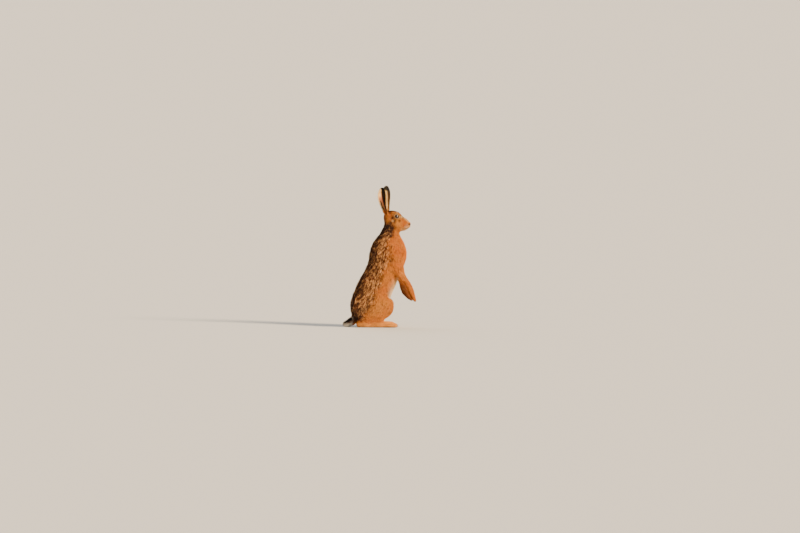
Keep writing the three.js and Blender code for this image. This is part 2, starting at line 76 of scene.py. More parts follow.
# Eyes and lids
OPENING = (8.1, 6.7)  # half length and half height of the opening between the lids
CORNER_DRAWN = 0.16  # how much further the opening reaches at its front corner
EYE_LOOK = (0.24, 1.0, 0.12)  # towards the front, the side and up
EYE_TILT = -10  # degrees
LID_FOLD = 1.5  # how thick the lids lie on the eyeball, and how deep the skin is tucked under it
LID_TUCK = 1.6
# How far in and out from the middle of the eye the skin is drawn to the lids, stays bare and is marked.
LIDS_REACH = (-6, 22)
BARE_REACH = (-8, 20)
MARKS_REACH = (-4, 20)
FAR_OFF = 9.0

# Line of the mouth in side view, and the right and left nostrils' place with y turned positive.
MOUTH = [(128, 411), (137, 414.5), (147, 415), (156, 417), (166, 421)]
MOUTH_GROOVE = (1.5, 0.9)  # depth and half width
LIP_CLEFT = (1.2, 0.8)
NOSTRIL = (159.5, 5.2, 431.0)
NOSTRIL_DEPTH = 2.6

# Swells and hollows of the face: place, reach and height in millimetres, the same on both sides.
FACE_FORMS = [
    ((146, 11, 425), 9, 1.2),  # whisker pad
    ((122, 17, 449), 9, -1.4),  # hollow before the eye
    ((112, 26, 447), 9, 0.9),  # cheekbone
    ((90, 25, 474), 8, -1.0),  # temple
    ((101, 19, 478), 7, 1.0),  # brow
    ((97, 28, 428), 12, 1.0),  # cheek
    ((157, 7, 436), 4, 0.6),  # wing of the nose
]

# Toes. A forepaw has the end of its middle toe gap and the way that it points; the left one is swung
# back. The spreads are from toe to toe, and the gaps have a depth, a half width and lengths.
PAWS = {-1: ((182.0, 22.8, 109.5), (0.41, 0, -0.91)), 1: ((167.0, 22.3, 111.0), (0.6, 0, -0.8))}
PAW_SPREAD = 4.8
PAW_GAP = 17
FOOT_TIP = (106.0, 52.0, 5.5)
FOOT_BACK = (-1.0, 0, 0.25)
FOOT_SPREAD = 7.4
FOOT_GAP = 24
TOE_GAP = (2.3, 1.3)
TOE_FACING = (0.6, 0, 0.4)  # the gaps are cut on the skin that faces this way

# The lie of the coat. At a place on the hare: the way the hair points, how deep the coat is, and how
# long and wide a tuft is. Each place off the middle plane has a twin on the left side.
COAT = [
    # nose, muzzle, lips and chin
    ((163, 0, 433), (-1, 0, 1.0), 0.8, 3.2, 0.5),
    ((160, -7, 431), (-1, -0.6, 0.4), 0.8, 3.2, 0.5),
    ((148, 0, 452), (-1, 0, 0.8), 1.2, 5.0, 0.6),
    ((128, 0, 466), (-1, 0, 0.7), 1.5, 6.5, 0.7),
    ((146, -13, 434), (-1, -0.3, 0.1), 1.3, 5.0, 0.6),
    ((145, -11, 420), (-1, -0.3, -0.35), 1.3, 4.6, 0.6),
    ((158, -5, 421), (-0.8, -0.4, -0.6), 0.9, 3.4, 0.5),
    ((140, 0, 406), (-1, 0, -0.1), 1.6, 6.0, 0.7),
    # cheeks, brow, crown and jaw
    ((128, -18, 444), (-1, -0.1, 0.0), 1.6, 6.0, 0.7),
    ((122, -16, 462), (-1, 0.0, 0.35), 1.4, 5.0, 0.6),
    ((104, -27, 451), (-1, 0, -0.25), 1.5, 5.5, 0.7),
    ((103, -22, 479), (-1, 0, 0.1), 1.4, 5.0, 0.7),
    ((90, -27, 465), (-1, 0, -0.1), 1.6, 7.0, 0.7),
    ((112, 0, 482), (-1, 0, 0.25), 2.0, 8.0, 0.9),
    ((86, 0, 490), (-1, 0, 0.0), 2.4, 10.0, 1.0),
    ((110, -24, 432), (-1, 0, -0.35), 2.2, 8.5, 0.9),
    ((120, -12, 407), (-1, 0, -0.3), 2.2, 9.0, 0.9),
    ((88, -31, 440), (-0.9, 0, -0.6), 3.0, 12.0, 1.1),
    ((66, -24, 452), (-0.5, 0, -1), 3.4, 13.0, 1.2),
    ((66, -18, 478), (-0.8, 0, -0.5), 2.2, 8.0, 0.9),
    ((52, 0, 462), (-0.2, 0, -1), 3.6, 14.0, 1.2),
    # neck
    ((47, 0, 424), (-0.35, 0, -1), 5.0, 19.0, 1.2),
    ((72, -34, 405), (-0.25, 0, -1), 5.0, 18.0, 1.2),
    ((112, -12, 390), (0.1, 0, -1), 4.6, 16.0, 1.1),
    ((25, 0, 384), (-0.6, 0, -1), 6.0, 22.0, 1.5),
    # trunk
    ((-8, 0, 318), (-0.2, 0, -1), 7.0, 21.0, 1.5),
    ((-30, -30, 245), (-0.45, 0, -1), 7.2, 22.0, 1.5),
    ((-66, 0, 170), (-0.4, 0, -1), 7.5, 22.0, 1.5),
    ((-92, 0, 95), (-0.05, 0, -1), 7.5, 22.0, 1.5),
    ((-78, 0, 45), (-0.3, 0, -1), 6.5, 18.0, 1.4),
    ((40, -55, 300), (-0.3, 0, -1), 7.0, 21.0, 1.5),
    ((20, -52, 215), (-0.4, 0, -1), 7.0, 21.0, 1.5),
    ((145, 0, 312), (0, 0, -1), 6.5, 18.0, 1.4),
    ((128, 0, 262), (-0.1, 0, -1), 6.0, 17.0, 1.2),
    ((100, -50, 320), (-0.15, 0, -1), 6.5, 18.0, 1.4),
    ((104, 0, 185), (-0.4, 0, -1), 6.5, 18.0, 1.4),
    ((84, 0, 140), (-0.4, 0, -1), 6.5, 18.0, 1.4),
    ((70, -48, 200), (-0.35, 0, -1), 6.5, 19.0, 1.4),
    # foreleg
    ((104, -52, 268), (0.15, 0, -1), 4.5, 17.0, 1.1),
    ((118, -46, 232), (0.35, 0, -1), 3.4, 13.0, 1.2),
    ((137, -34, 200), (0.6, 0, -0.8), 2.4, 10.0, 1.0),
    ((156, -30, 170), (0.4, 0, -0.9), 2.0, 8.5, 0.9),
    ((168, -26, 138), (0.4, 0, -0.9), 1.6, 6.5, 0.7),
    ((182, -24, 110), (0.4, 0, -0.9), 1.2, 4.6, 0.6),
    # haunch, hind leg and foot
    ((-40, -58, 120), (-0.5, 0, -1), 6.5, 24.0, 1.5),
    ((20, -68, 130), (-0.5, 0, -1), 6.0, 22.0, 1.5),
    ((20, -70, 80), (-0.6, 0, -0.9), 5.5, 20.0, 1.3),
    ((88, -54, 98), (0.1, 0, -1), 4.5, 16.0, 1.2),
    ((70, -58, 50), (-0.4, 0, -1), 4.0, 14.0, 1.1),
    ((0, -62, 36), (-0.7, 0, -0.6), 4.2, 15.0, 1.1),
    ((-58, -48, 26), (-0.3, 0, -1), 3.0, 11.0, 1.1),
    ((-10, -50, 14), (1, 0, -0.5), 2.4, 9.0, 1.0),
    ((50, -58, 16), (1, 0, -0.35), 2.2, 9.0, 1.0),
    ((98, -54, 10), (1, 0, -0.35), 1.5, 6.0, 0.7),
    # tail
    ((-68, 0, 52), (-1, 0, -0.6), 5.0, 18.0, 1.2),
    ((-100, 0, 30), (-1, 0, -0.7), 5.0, 18.0, 1.1),
    ((-118, 0, 12), (-1, 0, -0.1), 4.0, 13.0, 1.2),
]
# The ears stand at different angles, so each has places of its own: root, middle and tip.
EAR_COAT = [
    ((58, -15, 496), (-0.3, 0, 1), 0.7, 6.0, 0.8),
    ((45, -22, 535), (-0.1, 0, 1), 0.5, 5.0, 0.7),
    ((42, -26, 580), (0, 0, 1), 0.5, 4.5, 0.6),
    ((68, 15, 500), (-0.05, 0, 1), 0.7, 6.0, 0.8),
    ((63, 20, 540), (-0.05, 0, 1), 0.5, 5.0, 0.7),
    ((61, 25, 586), (0, 0, 1), 0.5, 4.5, 0.6),
]
TWINS = [((x, -y, z), (a, -b, c), *size) for (x, y, z), (a, b, c), *size in COAT if y]
COAT_ROWS = COAT + TWINS + EAR_COAT
COAT_REACH = (15, 2.2)  # how softly and how fast the pull of a place in the table falls off

COVER = 3.4  # layers of tufts over any spot
EAR_COVER = 2.0
CUP_THINNING = 1.2  # fewer layers inside the cups of the ears
TUFT_SHARE = 0.62  # share of its own length times width that a tapered tuft covers
ROOT_SUNK = 0.7
OFF_FLOOR = 0.15  # no tuft reaches below about this height
SOLE = 1.2  # no tuft is rooted below this height
UNRULY = 0.21  # how far tufts turn from the lie of the coat, in radians, one by one and in waves
WAVES = 0.7
WAVE_SIZE = 14
STANDING = (0.07, 1.35)  # share of tufts that stand higher than the rest, and how much higher

# Each ring of a tuft: how far along it lies, and its height, width and thickness as shares of the
# depth of the coat and the width of the tuft.
LONG_TUFT = [(0.0, 0.0, 0.7, 0.3), (0.36, 0.55, 1.0, 0.34), (0.7, 0.86, 0.68, 0.24), (1.0, 0.92, 0.0, 0.0)]
SHORT_TUFT = [(0.0, 0.0, 0.8, 0.3), (0.5, 0.62, 1.0, 0.32), (1.0, 0.95, 0.0, 0.0)]

EAR_BASE = 488  # height of the roots of the ears, and how far ahead of the hips they reach
EAR_FRONT = 84
BAKE_PATCH = 0.003  # size of a tuft's patch on its piece's unwrap

# Colours of hair, skin and eyes
DARK = "#1e0e08"
BROWN = "#5e2e15"
TAWNY = "#dd8c34"
RUFOUS = "#d06c20"
SAND = "#e09c48"
BUFF = "#fab774"
CREAM = "#f3cf90"
WHITE = "#efe9dc"
BLACK = "#15100d"
FLUSH = "#c67f58"
GREY = "#8d7a66"

# The line of the back and of the chest in side view, and how far from back to chest the dark mantle
# reaches, at heights above the floor.
HEIGHTS = [29, 60, 91, 125, 153, 184, 207, 238, 262, 290, 315, 345, 370, 395, 422, 478]
BACK = [-57, -88, -92, -88, -74, -60, -51, -33, -23, -14, -7, -4, 14, 35, 48, 51]
FRONT = [70, 92, 96, 88, 92, 103, 108, 128, 137, 146, 147, 141, 125, 115, 122, 140]
MANTLE = [0.26, 0.34, 0.46, 0.58, 0.6, 0.58, 0.55, 0.52, 0.54, 0.57, 0.57, 0.56, 0.58, 0.6, 0.4, 0.1]
MANTLE_EDGE = (-0.14, 0.16)  # how soft the edge of the mantle is, as shares of the way to the chest
PATCHES = 26  # size of the patches of redder and yellower hair
CLUMP = 2.9  # size of the clumps of dark and pale tips, which are drawn out downwards
CLUMP_STRETCH = (1, 1, 0.8)
CLUMPED = 0.62  # how much a tip's clump decides whether it is dark or pale; the rest is chance

# Face marks in side view, a few of them painted shade: place, reach, colour and strength.
FACE_MARKS = [
    ((87, 459), 7.4, DARK, 1.0),  # behind the eye
    ((96, 448), 5.2, DARK, 1.0),
    ((78, 480), 5.0, BROWN, 0.95),
    ((76, 468), 4.5, RUFOUS, 0.9),
    ((80, 439), 6.8, DARK, 1.0),  # corner of the cheek
    ((94, 441), 4.4, BROWN, 0.95),
    ((87, 447), 3.8, CREAM, 0.7),
    ((69, 425), 6.5, DARK, 0.95),  # under the cheek, painted shadow of the jaw on the neck
    ((84, 416), 5.5, BROWN, 0.9),
    ((116, 447), 5.2, DARK, 0.8),  # tear line
    ((122, 462), 4.5, CREAM, 0.7),
    ((105, 478), 4.0, CREAM, 0.6),  # brow
    ((92, 474), 4.0, SAND, 0.6),
    ((136, 428), 6.5, RUFOUS, 1.0),  # muzzle
    ((143, 441), 4.0, RUFOUS, 0.6),
    ((124, 440), 5.0, SAND, 0.5),
    ((108, 432), 8.0, SAND, 0.6),
    ((148, 415), 8.0, CREAM, 0.85),  # lips
    ((130, 406), 9.0, CREAM, 0.7),  # chin
    ((158, 424), 5.0, CREAM, 0.7),
    ((156, 431), 3.2, BLACK, 1.0),  # nostril, black as painted shade inside its opening
]
NOSTRIL_MARK = (5.2, 5.0, 3.0)  # reach of the black painted shade round a nostril
SNOUT = [(122, 466), (156, 441)]

# The pieces of the coat: name, slot, kind of tuft, the axis that its unwrap goes round and a point on
# it, and which places belong to it. A place belongs to the first piece that claims it.
COAT_PIECES = [
    ("ear_coat_r", "ear_coat", SHORT_TUFT, (-0.1, 0, 1), (42, -30, 540),
     lambda x, y, z: (z > EAR_BASE) & (x < EAR_FRONT) & (y < 0)),
    ("ear_coat_l", "ear_coat", SHORT_TUFT, (-0.05, 0, 1), (62, 30, 540),
     lambda x, y, z: (z > EAR_BASE) & (x < EAR_FRONT) & (y >= 0)),
    ("face_coat", "head_coat", SHORT_TUFT, (1, 0, -0.3), (120, 0, 440),
     lambda x, y, z: (over_neck(x, z) > 0) & (x > 108)),
    ("head_coat", "head_coat", SHORT_TUFT, (1, 0, 0), (80, 0, 450),
     lambda x, y, z: over_neck(x, z) > 0),
    ("tail_coat", "tail_coat", LONG_TUFT, (-1, 0, -0.6), (-90, 0, 24),
     lambda x, y, z: (x < -74) & (z < 46)),
    ("hindfoot_coat", "hindfoot_coat", SHORT_TUFT, (1, 0, 0), (20, 0, 8),
     lambda x, y, z: (z < 21) & (np.abs(y) > 26)),
    ("foreleg_coat_r", "foreleg_coat", SHORT_TUFT, (0.5, 0, -0.85), (145, -28, 185),
     lambda x, y, z: (x > 112) & (z < 225) & (y < 0)),
    ("foreleg_coat_l", "foreleg_coat", SHORT_TUFT, (0.4, 0, -0.9), (132, 28, 175),
     lambda x, y, z: (x > 108) & (z < 222)),
    ("hindleg_coat", "hindleg_coat", LONG_TUFT, (0.2, 0, 1), (20, 0, 80),
     lambda x, y, z: (z < 140) & (np.abs(y) > 40)),
    ("rump_coat", "body_coat", LONG_TUFT, (0.3, 0, 1), (0, 0, 90), lambda x, y, z: z < 165),
    ("loin_coat", "body_coat", LONG_TUFT, (0.4, 0, 1), (30, 0, 210), lambda x, y, z: z < 250),
    ("chest_coat", "body_coat", LONG_TUFT, (0.1, 0, 1), (60, 0, 300), lambda x, y, z: z < 350),
    ("neck_coat", "neck_coat", LONG_TUFT, (0.2, 0, 1), (75, 0, 385), lambda x, y, z: z < 600),
]

# Real sizes that the patterns of the materials are worked out from, in millimetres. A guard hair is
# 0.1 thick, and the hairs of the nap are finer still: both are too fine to show, so locks of them are drawn.
TUFT_WIDTH = 1.4
LOCK = 0.2
NAP_LOCK = 1.1
IRIS_SPOKE = 1.4
HORN_GRAIN = 1.1
WHISKER_GRAIN = 2.0
LID_GRAIN = 3.3
FLOOR_GRAIN = 3.3
PUPIL = 28  # degrees from the middle of the eye
IRIS = 44
SPOKE_WOBBLE = 3.0  # how far the spokes carry the rings of the iris in and out
CORNEA = (46, 0.075)  # degrees that the cornea reaches, and how far it bulges as a share of the radius

# Claws: the place of each between the toe gaps, and how far short of their ends its root lies.
PAW_CLAWS = [(-1.5, 4.6), (-0.5, 2.2), (0.5, 2.2), (1.5, 4.6)]
FOOT_CLAWS = [(-1.5, 5.5), (-0.5, 2.0), (0.5, 2.0), (1.5, 5.5)]
WHISKER_ROWS = [432, 427.5, 423]
WHISKER_COLUMNS = 4
BROW_WHISKERS = [(112, 22, 478), (108, 22, 478)]

# The picture: its size and the places of the hips and the floor under them in pixels, and the
# millimetres that one pixel covers at the hare.
PICTURE = (800, 533)
HIPS_COLUMN = 372
FLOOR_ROW = 327
PIXEL = 4.2
LENS = 400.0
SENSOR = 36.0
DOWN = 2.4  # degrees that the camera looks down

# Lamps: name, the way to it, power, how many degrees wide it is, and colour.
LAMPS = [
    ("key", (0.8, -0.6, 0.46), 11.5, 14, "#ffe0b6"),
    ("back", (-0.45, 0.9, 0.6), 1.9, 60, "#fbf4ea"),
    ("fill", (-0.2, -0.8, 0.9), 0.45, 60, "#f4f3f0"),
]
WORLD_LIGHT = 0.34
FLOOR_RADIUS = 300


def place(x, y, z):
    """A point in the frame from its place on the hare."""
    return Vector((HIPS + x * MM, y * MM, z * MM))


def mirrored(spots):
    """Places with those on the right side moved over to the left."""
    return np.stack([spots[:, 0], np.abs(spots[:, 1]), spots[:, 2]], 1)


def linear(code):
    """A linear colour from an sRGB hex code."""
    parts = [int(code[i:i + 2], 16) / 255 for i in (1, 3, 5)]
    return np.array([c / 12.92 if c <= 0.04045 else ((c + 0.055) / 1.055) ** 2.4 for c in parts])


def unit(vectors):
    return vectors / np.maximum(np.linalg.norm(vectors, axis=-1, keepdims=True), 1e-9)


def ramp(values, low, high):
    """0 up to low, 1 from high on, and a smooth rise between."""
    t = np.clip((values - low) / (high - low), 0, 1)
    return t * t * (3 - 2 * t)


def fade(values, low, high):
    """1 up to low, 0 from high on, and a smooth fall between."""
    return 1 - ramp(values, low, high)


def band(values, low, full, still_full, high):
    """0 outside low and high, 1 between the inner two, and smooth between."""
    return ramp(values, low, full) * fade(values, still_full, high)


def mound(distance, reach):
    """1 where the distance is nothing, and about a third at the reach."""
    return np.exp(-(distance / reach) ** 2)


def blotches(spots, size, seed):
    """Smooth noise from 0 to 1 with blotches of about a size, in millimetres."""
    corner_primes = (73856093, 19349663, 83492791)
    mixers = (2654435761, 2246822519, 40503)
    scaled = spots / size + seed * 17.3
    cell = np.floor(scaled).astype(np.int64)
    part = scaled - cell
    part = part * part * (3 - 2 * part)
    total = np.zeros(len(spots))
    for corner in np.ndindex(2, 2, 2):
        at = (cell + np.array(corner)) * corner_primes
        mix = at[:, 0] ^ at[:, 1] ^ at[:, 2]
        mix = (mix * mixers[0] + seed * mixers[2]) & 0xFFFFFFFF
        mix = ((mix ^ (mix >> 15)) * mixers[1]) & 0xFFFFFFFF
        value = ((mix ^ (mix >> 13)) & 0xFFFF) / 0xFFFF
        total += value * np.prod(np.where(np.array(corner), part, 1 - part), axis=1)
    return total


def read(items, name, width, kind=np.float32):
    """What a mesh holds under a name for each of its items."""
    found = np.empty(len(items) * width, kind)
    items.foreach_get(name, found)
    return found.reshape(-1, width)


def spots_of(mesh):
    """The places on the hare of a mesh's vertices."""
    return read(mesh.vertices, "co", 3).astype(float) / MM - np.array([HIPS / MM, 0.0, 0.0])


def normals(mesh):
    return read(mesh.vertices, "normal", 3).astype(float)


def put_spots(mesh, spots):
    """Moves a mesh's vertices to places on the hare."""
    points = spots * MM + [HIPS, 0, 0]
    mesh.vertices.foreach_set("co", np.ascontiguousarray(points, np.float32).ravel())
    mesh.update()


def shade_smooth(mesh):
    mesh.polygons.foreach_set("use_smooth", np.ones(len(mesh.polygons), bool))


def colour_layer(mesh, colours):
    layer = mesh.color_attributes.new("coat", "FLOAT_COLOR", "POINT")
    full = np.ones((len(colours), 4), np.float32)
    full[:, :3] = colours
    layer.data.foreach_set("color", full.ravel())


def float_layer(mesh, name, values):
    layer = mesh.attributes.new(name, "FLOAT", "POINT")
    layer.data.foreach_set("value", np.ascontiguousarray(values, np.float32))


def new_object(name, data):
    made = bpy.data.objects.new(name, data)
    bpy.context.scene.collection.objects.link(made)
    return made


def object_of(work, name, finish):
    """An object of a finished bmesh, smooth and in its material."""
    mesh = bpy.data.meshes.new(name)
    work.to_mesh(mesh)
    work.free()
    shade_smooth(mesh)
    mesh.materials.append(finish)
    return new_object(name, mesh)


def ride_in_slot(piece):
    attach(piece, "root")


def finish_modifiers(obj):
    """Applies an object's modifiers to its mesh."""
    made = bpy.data.meshes.new_from_object(obj.evaluated_get(bpy.context.evaluated_depsgraph_get()))
    old = obj.data
    obj.modifiers.clear()
    obj.data = made
    bpy.data.meshes.remove(old)


def flesh_copy():
    """All flesh solids in one mesh, each swollen a little so that they run into one another."""
    whole = bmesh.new()
    for name in FLESH:
        part = bmesh.new()
        part.from_mesh(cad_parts[name].data)
        bmesh.ops.remove_doubles(part, verts=part.verts, dist=0.02 * MM)
        part.normal_update()
        for vert in part.verts:
            vert.co += vert.normal * CUT_CLOSING * MM
        swollen = bpy.data.meshes.new(name)
        part.to_mesh(swollen)
        part.free()
        whole.from_mesh(swollen)
        bpy.data.meshes.remove(swollen)
    mesh = bpy.data.meshes.new("skin")
    whole.to_mesh(mesh)
    whole.free()
    return new_object("skin", mesh)


def smoothed(points, edges, share, rounds):
    """Points drawn towards the middle of their neighbours, each by its own share."""
    count = len(points)
    degree = np.bincount(edges.ravel(), minlength=count)[:, None]
    for _ in range(rounds):
        middle = np.empty_like(points)
        for axis in range(points.shape[1]):
            middle[:, axis] = np.bincount(edges[:, 0], points[edges[:, 1], axis], count)
            middle[:, axis] += np.bincount(edges[:, 1], points[edges[:, 0], axis], count)
        points = points + (middle / degree - points) * share
    return points


def small_parts(spots):
    """1 on the head, ears, feet and paws, whose forms are too small for a strong smoothing."""
    x, z = spots[:, 0], spots[:, 2]
    return np.maximum.reduce([ramp(z, 398, 412), fade(z, 16, 30), ramp(x, 112, 130) * fade(z, 180, 215)])


def on_forelegs(spots, low, high):
    """1 on the hanging forelegs, rising from low to high millimetres ahead of the line of the chest."""
    ahead = spots[:, 0] - np.interp(spots[:, 2], HEIGHTS, FRONT)
    return ramp(ahead, low, high) * band(spots[:, 2], 80, 96, 214, 232)


def over_neck(x, z):
    """Height over the slanting line where the head meets the neck."""
    return z + 0.365 * (x - 46) - 424


def coat_at(spots):
    """The way, depth, length and width of the coat at places on the hare."""
    places = np.array([row[0] for row in COAT_ROWS], float)
    values = np.array([[*unit(np.array(row[1], float)), *row[2:]] for row in COAT_ROWS])
    softness, steepness = COAT_REACH
    at_a_time = 20_000
    found = np.empty((len(spots), values.shape[1]))
    for start in range(0, len(spots), at_a_time):
        some = spots[start:start + at_a_time]
        squared = ((some[:, None, :] - places) ** 2).sum(axis=2)
        weight = 1 / (squared + softness) ** steepness
        found[start:start + at_a_time] = weight @ values / weight.sum(axis=1)[:, None]
    return unit(found[:, :3]), found[:, 3], found[:, 4], found[:, 5]


def eye_frame(side):
    """The middle of an eye as a place on the hare, and its ways forwards, up and out."""
    out = unit(np.array([EYE_LOOK[0], side * EYE_LOOK[1], EYE_LOOK[2]]))
    level = unit(np.cross([0, 0, -side], out))
    upright = unit(np.cross(out, level)) * -side
    turn = math.radians(EYE_TILT)
    ahead = level * math.cos(turn) + upright * math.sin(turn)
    up = upright * math.cos(turn) - level * math.sin(turn)
    return np.array([EYE_X, side * EYE_Y, EYE_Z]), ahead, up, out


def eye_share(spots, side, reach):
    """How far from the middle of an eye places within a reach lie, 1 at its lids, and their height on it."""
    centre, ahead, up, out = eye_frame(side)
    rel = spots - centre
    along, height = rel @ ahead, rel @ out
    drawn = np.where(along > 0, 1 + CORNER_DRAWN, 1.0)
    share = np.sqrt((along / OPENING[0] / drawn) ** 2 + (rel @ up / OPENING[1]) ** 2)
    return np.where((height > reach[0]) & (height < reach[1]), share, FAR_OFF), height


def shape_lids(spots):
    """Lays the skin round each eye on the eyeball as two lids, and tucks it under the ball inside them."""
    for side in SIDES.values():
        centre, ahead, up, out = eye_frame(side)
        share, height = eye_share(spots, side, LIDS_REACH)
        rel = spots - centre
        flat = np.minimum(np.hypot(rel @ ahead, rel @ up), EYE_RADIUS * 0.97)
        ball = np.sqrt(EYE_RADIUS ** 2 - flat ** 2)
        lid = ball + LID_FOLD * (1 - 0.35 * ramp(share, 1.15, 1.6))
        tucked = ball - LID_TUCK
        goal = tucked + (lid - tucked) * ramp(share, 0.93, 1.04)
        hold = fade(share, 1.25, 2.1)
        spots = spots + (hold * (goal - height))[:, None] * out
    return spots


def line_distance(spots, line):
    """Distance in side view to a line of points."""
    flat = spots[:, [0, 2]]
    best = np.full(len(spots), np.inf)
    for start, end in zip(line, line[1:]):
        a, b = np.array(start, float), np.array(end, float)
        t = np.clip(((flat - a) @ (b - a)) / ((b - a) @ (b - a)), 0, 1)
        best = np.minimum(best, np.linalg.norm(flat - a - t[:, None] * (b - a), axis=1))
    return best


def toe_gaps(side):
    """The gaps between the toes of a forepaw and of a hind foot: the end, the way back and the length."""
    (x, y, z), along = PAWS[side]
    gaps = [((x, side * (y + PAW_SPREAD * i), z), -np.array(along), PAW_GAP) for i in (-1, 0, 1)]
    x, y, z = FOOT_TIP
    gaps += [((x, side * (y + FOOT_SPREAD * i), z), np.array(FOOT_BACK), FOOT_GAP) for i in (-1, 0, 1)]
    return [(np.array(end), unit(back), long) for end, back, long in gaps]


def shape_toes(spots, outward):
    """Furrows between the toes of all four feet, on their upper sides and round their ends."""
    depth, half_width = TOE_GAP
    facing = ramp(outward @ np.array(TOE_FACING), -0.1, 0.2)
    lift = np.zeros(len(spots))
    for side in SIDES.values():
        for end, back, long in toe_gaps(side):
            rel = spots - end
            along = rel @ back
            close = np.linalg.norm(rel - np.outer(along, back), axis=1) < 14
            here = (along > -6) & (along < long) & close
            lift -= depth * mound(rel[:, 1], half_width) * here * facing * fade(along, long * 0.6, long)
    return spots + outward * lift[:, None]


def shape_face(spots, outward):
    """Cheeks, whisker pads and brows, the line of the mouth, the cleft of the lip and the nostrils."""
    x, y, z = spots.T
    both = mirrored(spots)
    lift = np.zeros(len(spots))
    for centre, reach, height in FACE_FORMS:
        lift += height * mound(np.linalg.norm(both - np.array(centre), axis=1), reach)
    lift -= MOUTH_GROOVE[0] * mound(line_distance(spots, MOUTH), MOUTH_GROOVE[1]) * ramp(x, 124, 134)
    lift -= LIP_CLEFT[0] * mound(y, LIP_CLEFT[1]) * ((x > 150) & (z > 417) & (z < 430))
    rel = both - np.array(NOSTRIL)
    slit = np.hypot(rel[:, 1] / 1.9, (rel[:, 2] - 0.6 * rel[:, 1]) / 1.6)
    lift -= NOSTRIL_DEPTH * mound(slit, 1) * (x > 154)
    return spots + outward * lift[:, None]


def near_eyes(spots):
    return np.linalg.norm(mirrored(spots) - np.array([EYE_X, EYE_Y + 5, EYE_Z]), axis=1) < 15


def near_mouth(spots):
    at_lips = (spots[:, 0] > 126) & (line_distance(spots, MOUTH) < 3)
    return at_lips | (spots[:, 0] > 153) & (spots[:, 2] < 440)


def near_toes(spots):
    close = np.zeros(len(spots), bool)
    for side in SIDES.values():
        for end, back, _ in toe_gaps(side):
            close |= np.linalg.norm(spots - end - back * 8, axis=1) < 15
    return close


def refine(mesh, masks):
    """Splits the skin's faces into quarters where a mask of places says so."""
    for mask in masks:
        work = bmesh.new()
        work.from_mesh(mesh)
        work.verts.ensure_lookup_table()
        chosen = mask(spots_of(mesh))
        cuts = [edge for edge in work.edges if chosen[edge.verts[0].index] and chosen[edge.verts[1].index]]
        bmesh.ops.subdivide_edges(work, edges=cuts, cuts=1, use_grid_fill=True)
        bmesh.ops.triangulate(work, faces=[face for face in work.faces if len(face.verts) > 4])
        work.to_mesh(mesh)
        work.free()


def make_skin():
    """One skin in place of the flesh, under it by the depth of the coat, with lids, lips and toes."""
    skin = flesh_copy()
    remesh = skin.modifiers.new("remesh", "REMESH")
    remesh.mode = "VOXEL"
    remesh.voxel_size = SKIN_CELL * MM
    finish_modifiers(skin)
    mesh = skin.data
    edges = read(mesh.edges, "vertices", 2, np.int32)
    spots = spots_of(mesh)
    share = SMOOTH_SHARE - SMALL_PARTS_LESS * small_parts(spots)[:, None]
    spots = smoothed(spots, edges, share, SMOOTHING)
    spots[:, 2] = np.maximum(spots[:, 2], 0)
    put_spots(mesh, spots)
    depth = smoothed(coat_at(spots)[1][:, None], edges, SMOOTH_SHARE, DEPTH_SMOOTHING)
    depth += CUT_CLOSING * CLOSING_UNDONE
    depth -= FOREARM_SWELL * on_forelegs(spots, 8, 22)[:, None] * fade(spots[:, 2:], 165, 195)
    spots = spots - unit(smoothed(normals(mesh), edges, SMOOTH_SHARE, OUTWARD_SMOOTHING)) * depth
    put_spots(mesh, spots)
    group = skin.vertex_groups.new(name="body")
    group.add([int(i) for i in np.flatnonzero(spots[:, 2] < HEAD_BASE)], 1.0, "REPLACE")
    thin = skin.modifiers.new("thin", "DECIMATE")
    thin.ratio = SKIN_KEPT
    thin.vertex_group = "body"
    finish_modifiers(skin)
    skin.vertex_groups.clear()
    mesh = skin.data
    refine(mesh, [near_eyes, near_mouth, near_toes])
    outward = normals(mesh)
    spots = shape_lids(spots_of(mesh))
    put_spots(mesh, shape_toes(shape_face(spots, outward), outward))
    shade_smooth(mesh)
    ride_in_slot(skin)
    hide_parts(*FLESH)
    return skin


def painted(base, *layers):
    """Colours with other colours laid over them in turn, each as strongly as its own share says."""
    for colour, share in layers:
        base = base + (linear(colour) - base) * np.clip(share, 0, 1)[:, None]
    return base


def ear_spots(spots):
    """For each place: is it on an ear, its height share, and from -1 at the rear edge to 1 in front."""
    x, y, z = spots.T
    on_ear = np.zeros(len(spots), bool)
    height = np.zeros(len(spots))
    across = np.zeros(len(spots))
    for name, side in SIDES.items():
        outline = spots_of(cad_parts[f"ear_{name}"].data)
        low, high = outline[:, 2].min(), outline[:, 2].max()
        levels = np.linspace(low, high, 24)
        bands = [outline[np.abs(outline[:, 2] - level) < 6] for level in levels]
        rear = np.interp(z, levels, [points[:, 0].min() for points in bands])
        front = np.interp(z, levels, [points[:, 0].max() for points in bands])
        there = (z > EAR_BASE + 0.5) & (y * side > 0) & (x < EAR_FRONT)
        on_ear |= there
        height = np.where(there, (z - low) / (high - low), height)
        half = np.maximum((front - rear) / 2, 3)
        across = np.where(there, (x - (rear + front) / 2) / half, across)
    return on_ear, height, across


def cup_facing(outward, side):
    """How squarely the way out of an ear's skin points the way that its cup opens."""
    return 0.15 * outward[:, 0] + side * outward[:, 1]


def ear_inside(spots, outward):
    """1 inside the cup of an ear and 0 on its back."""
    return ramp(cup_facing(outward, np.sign(spots[:, 1])), -0.1, 0.25)


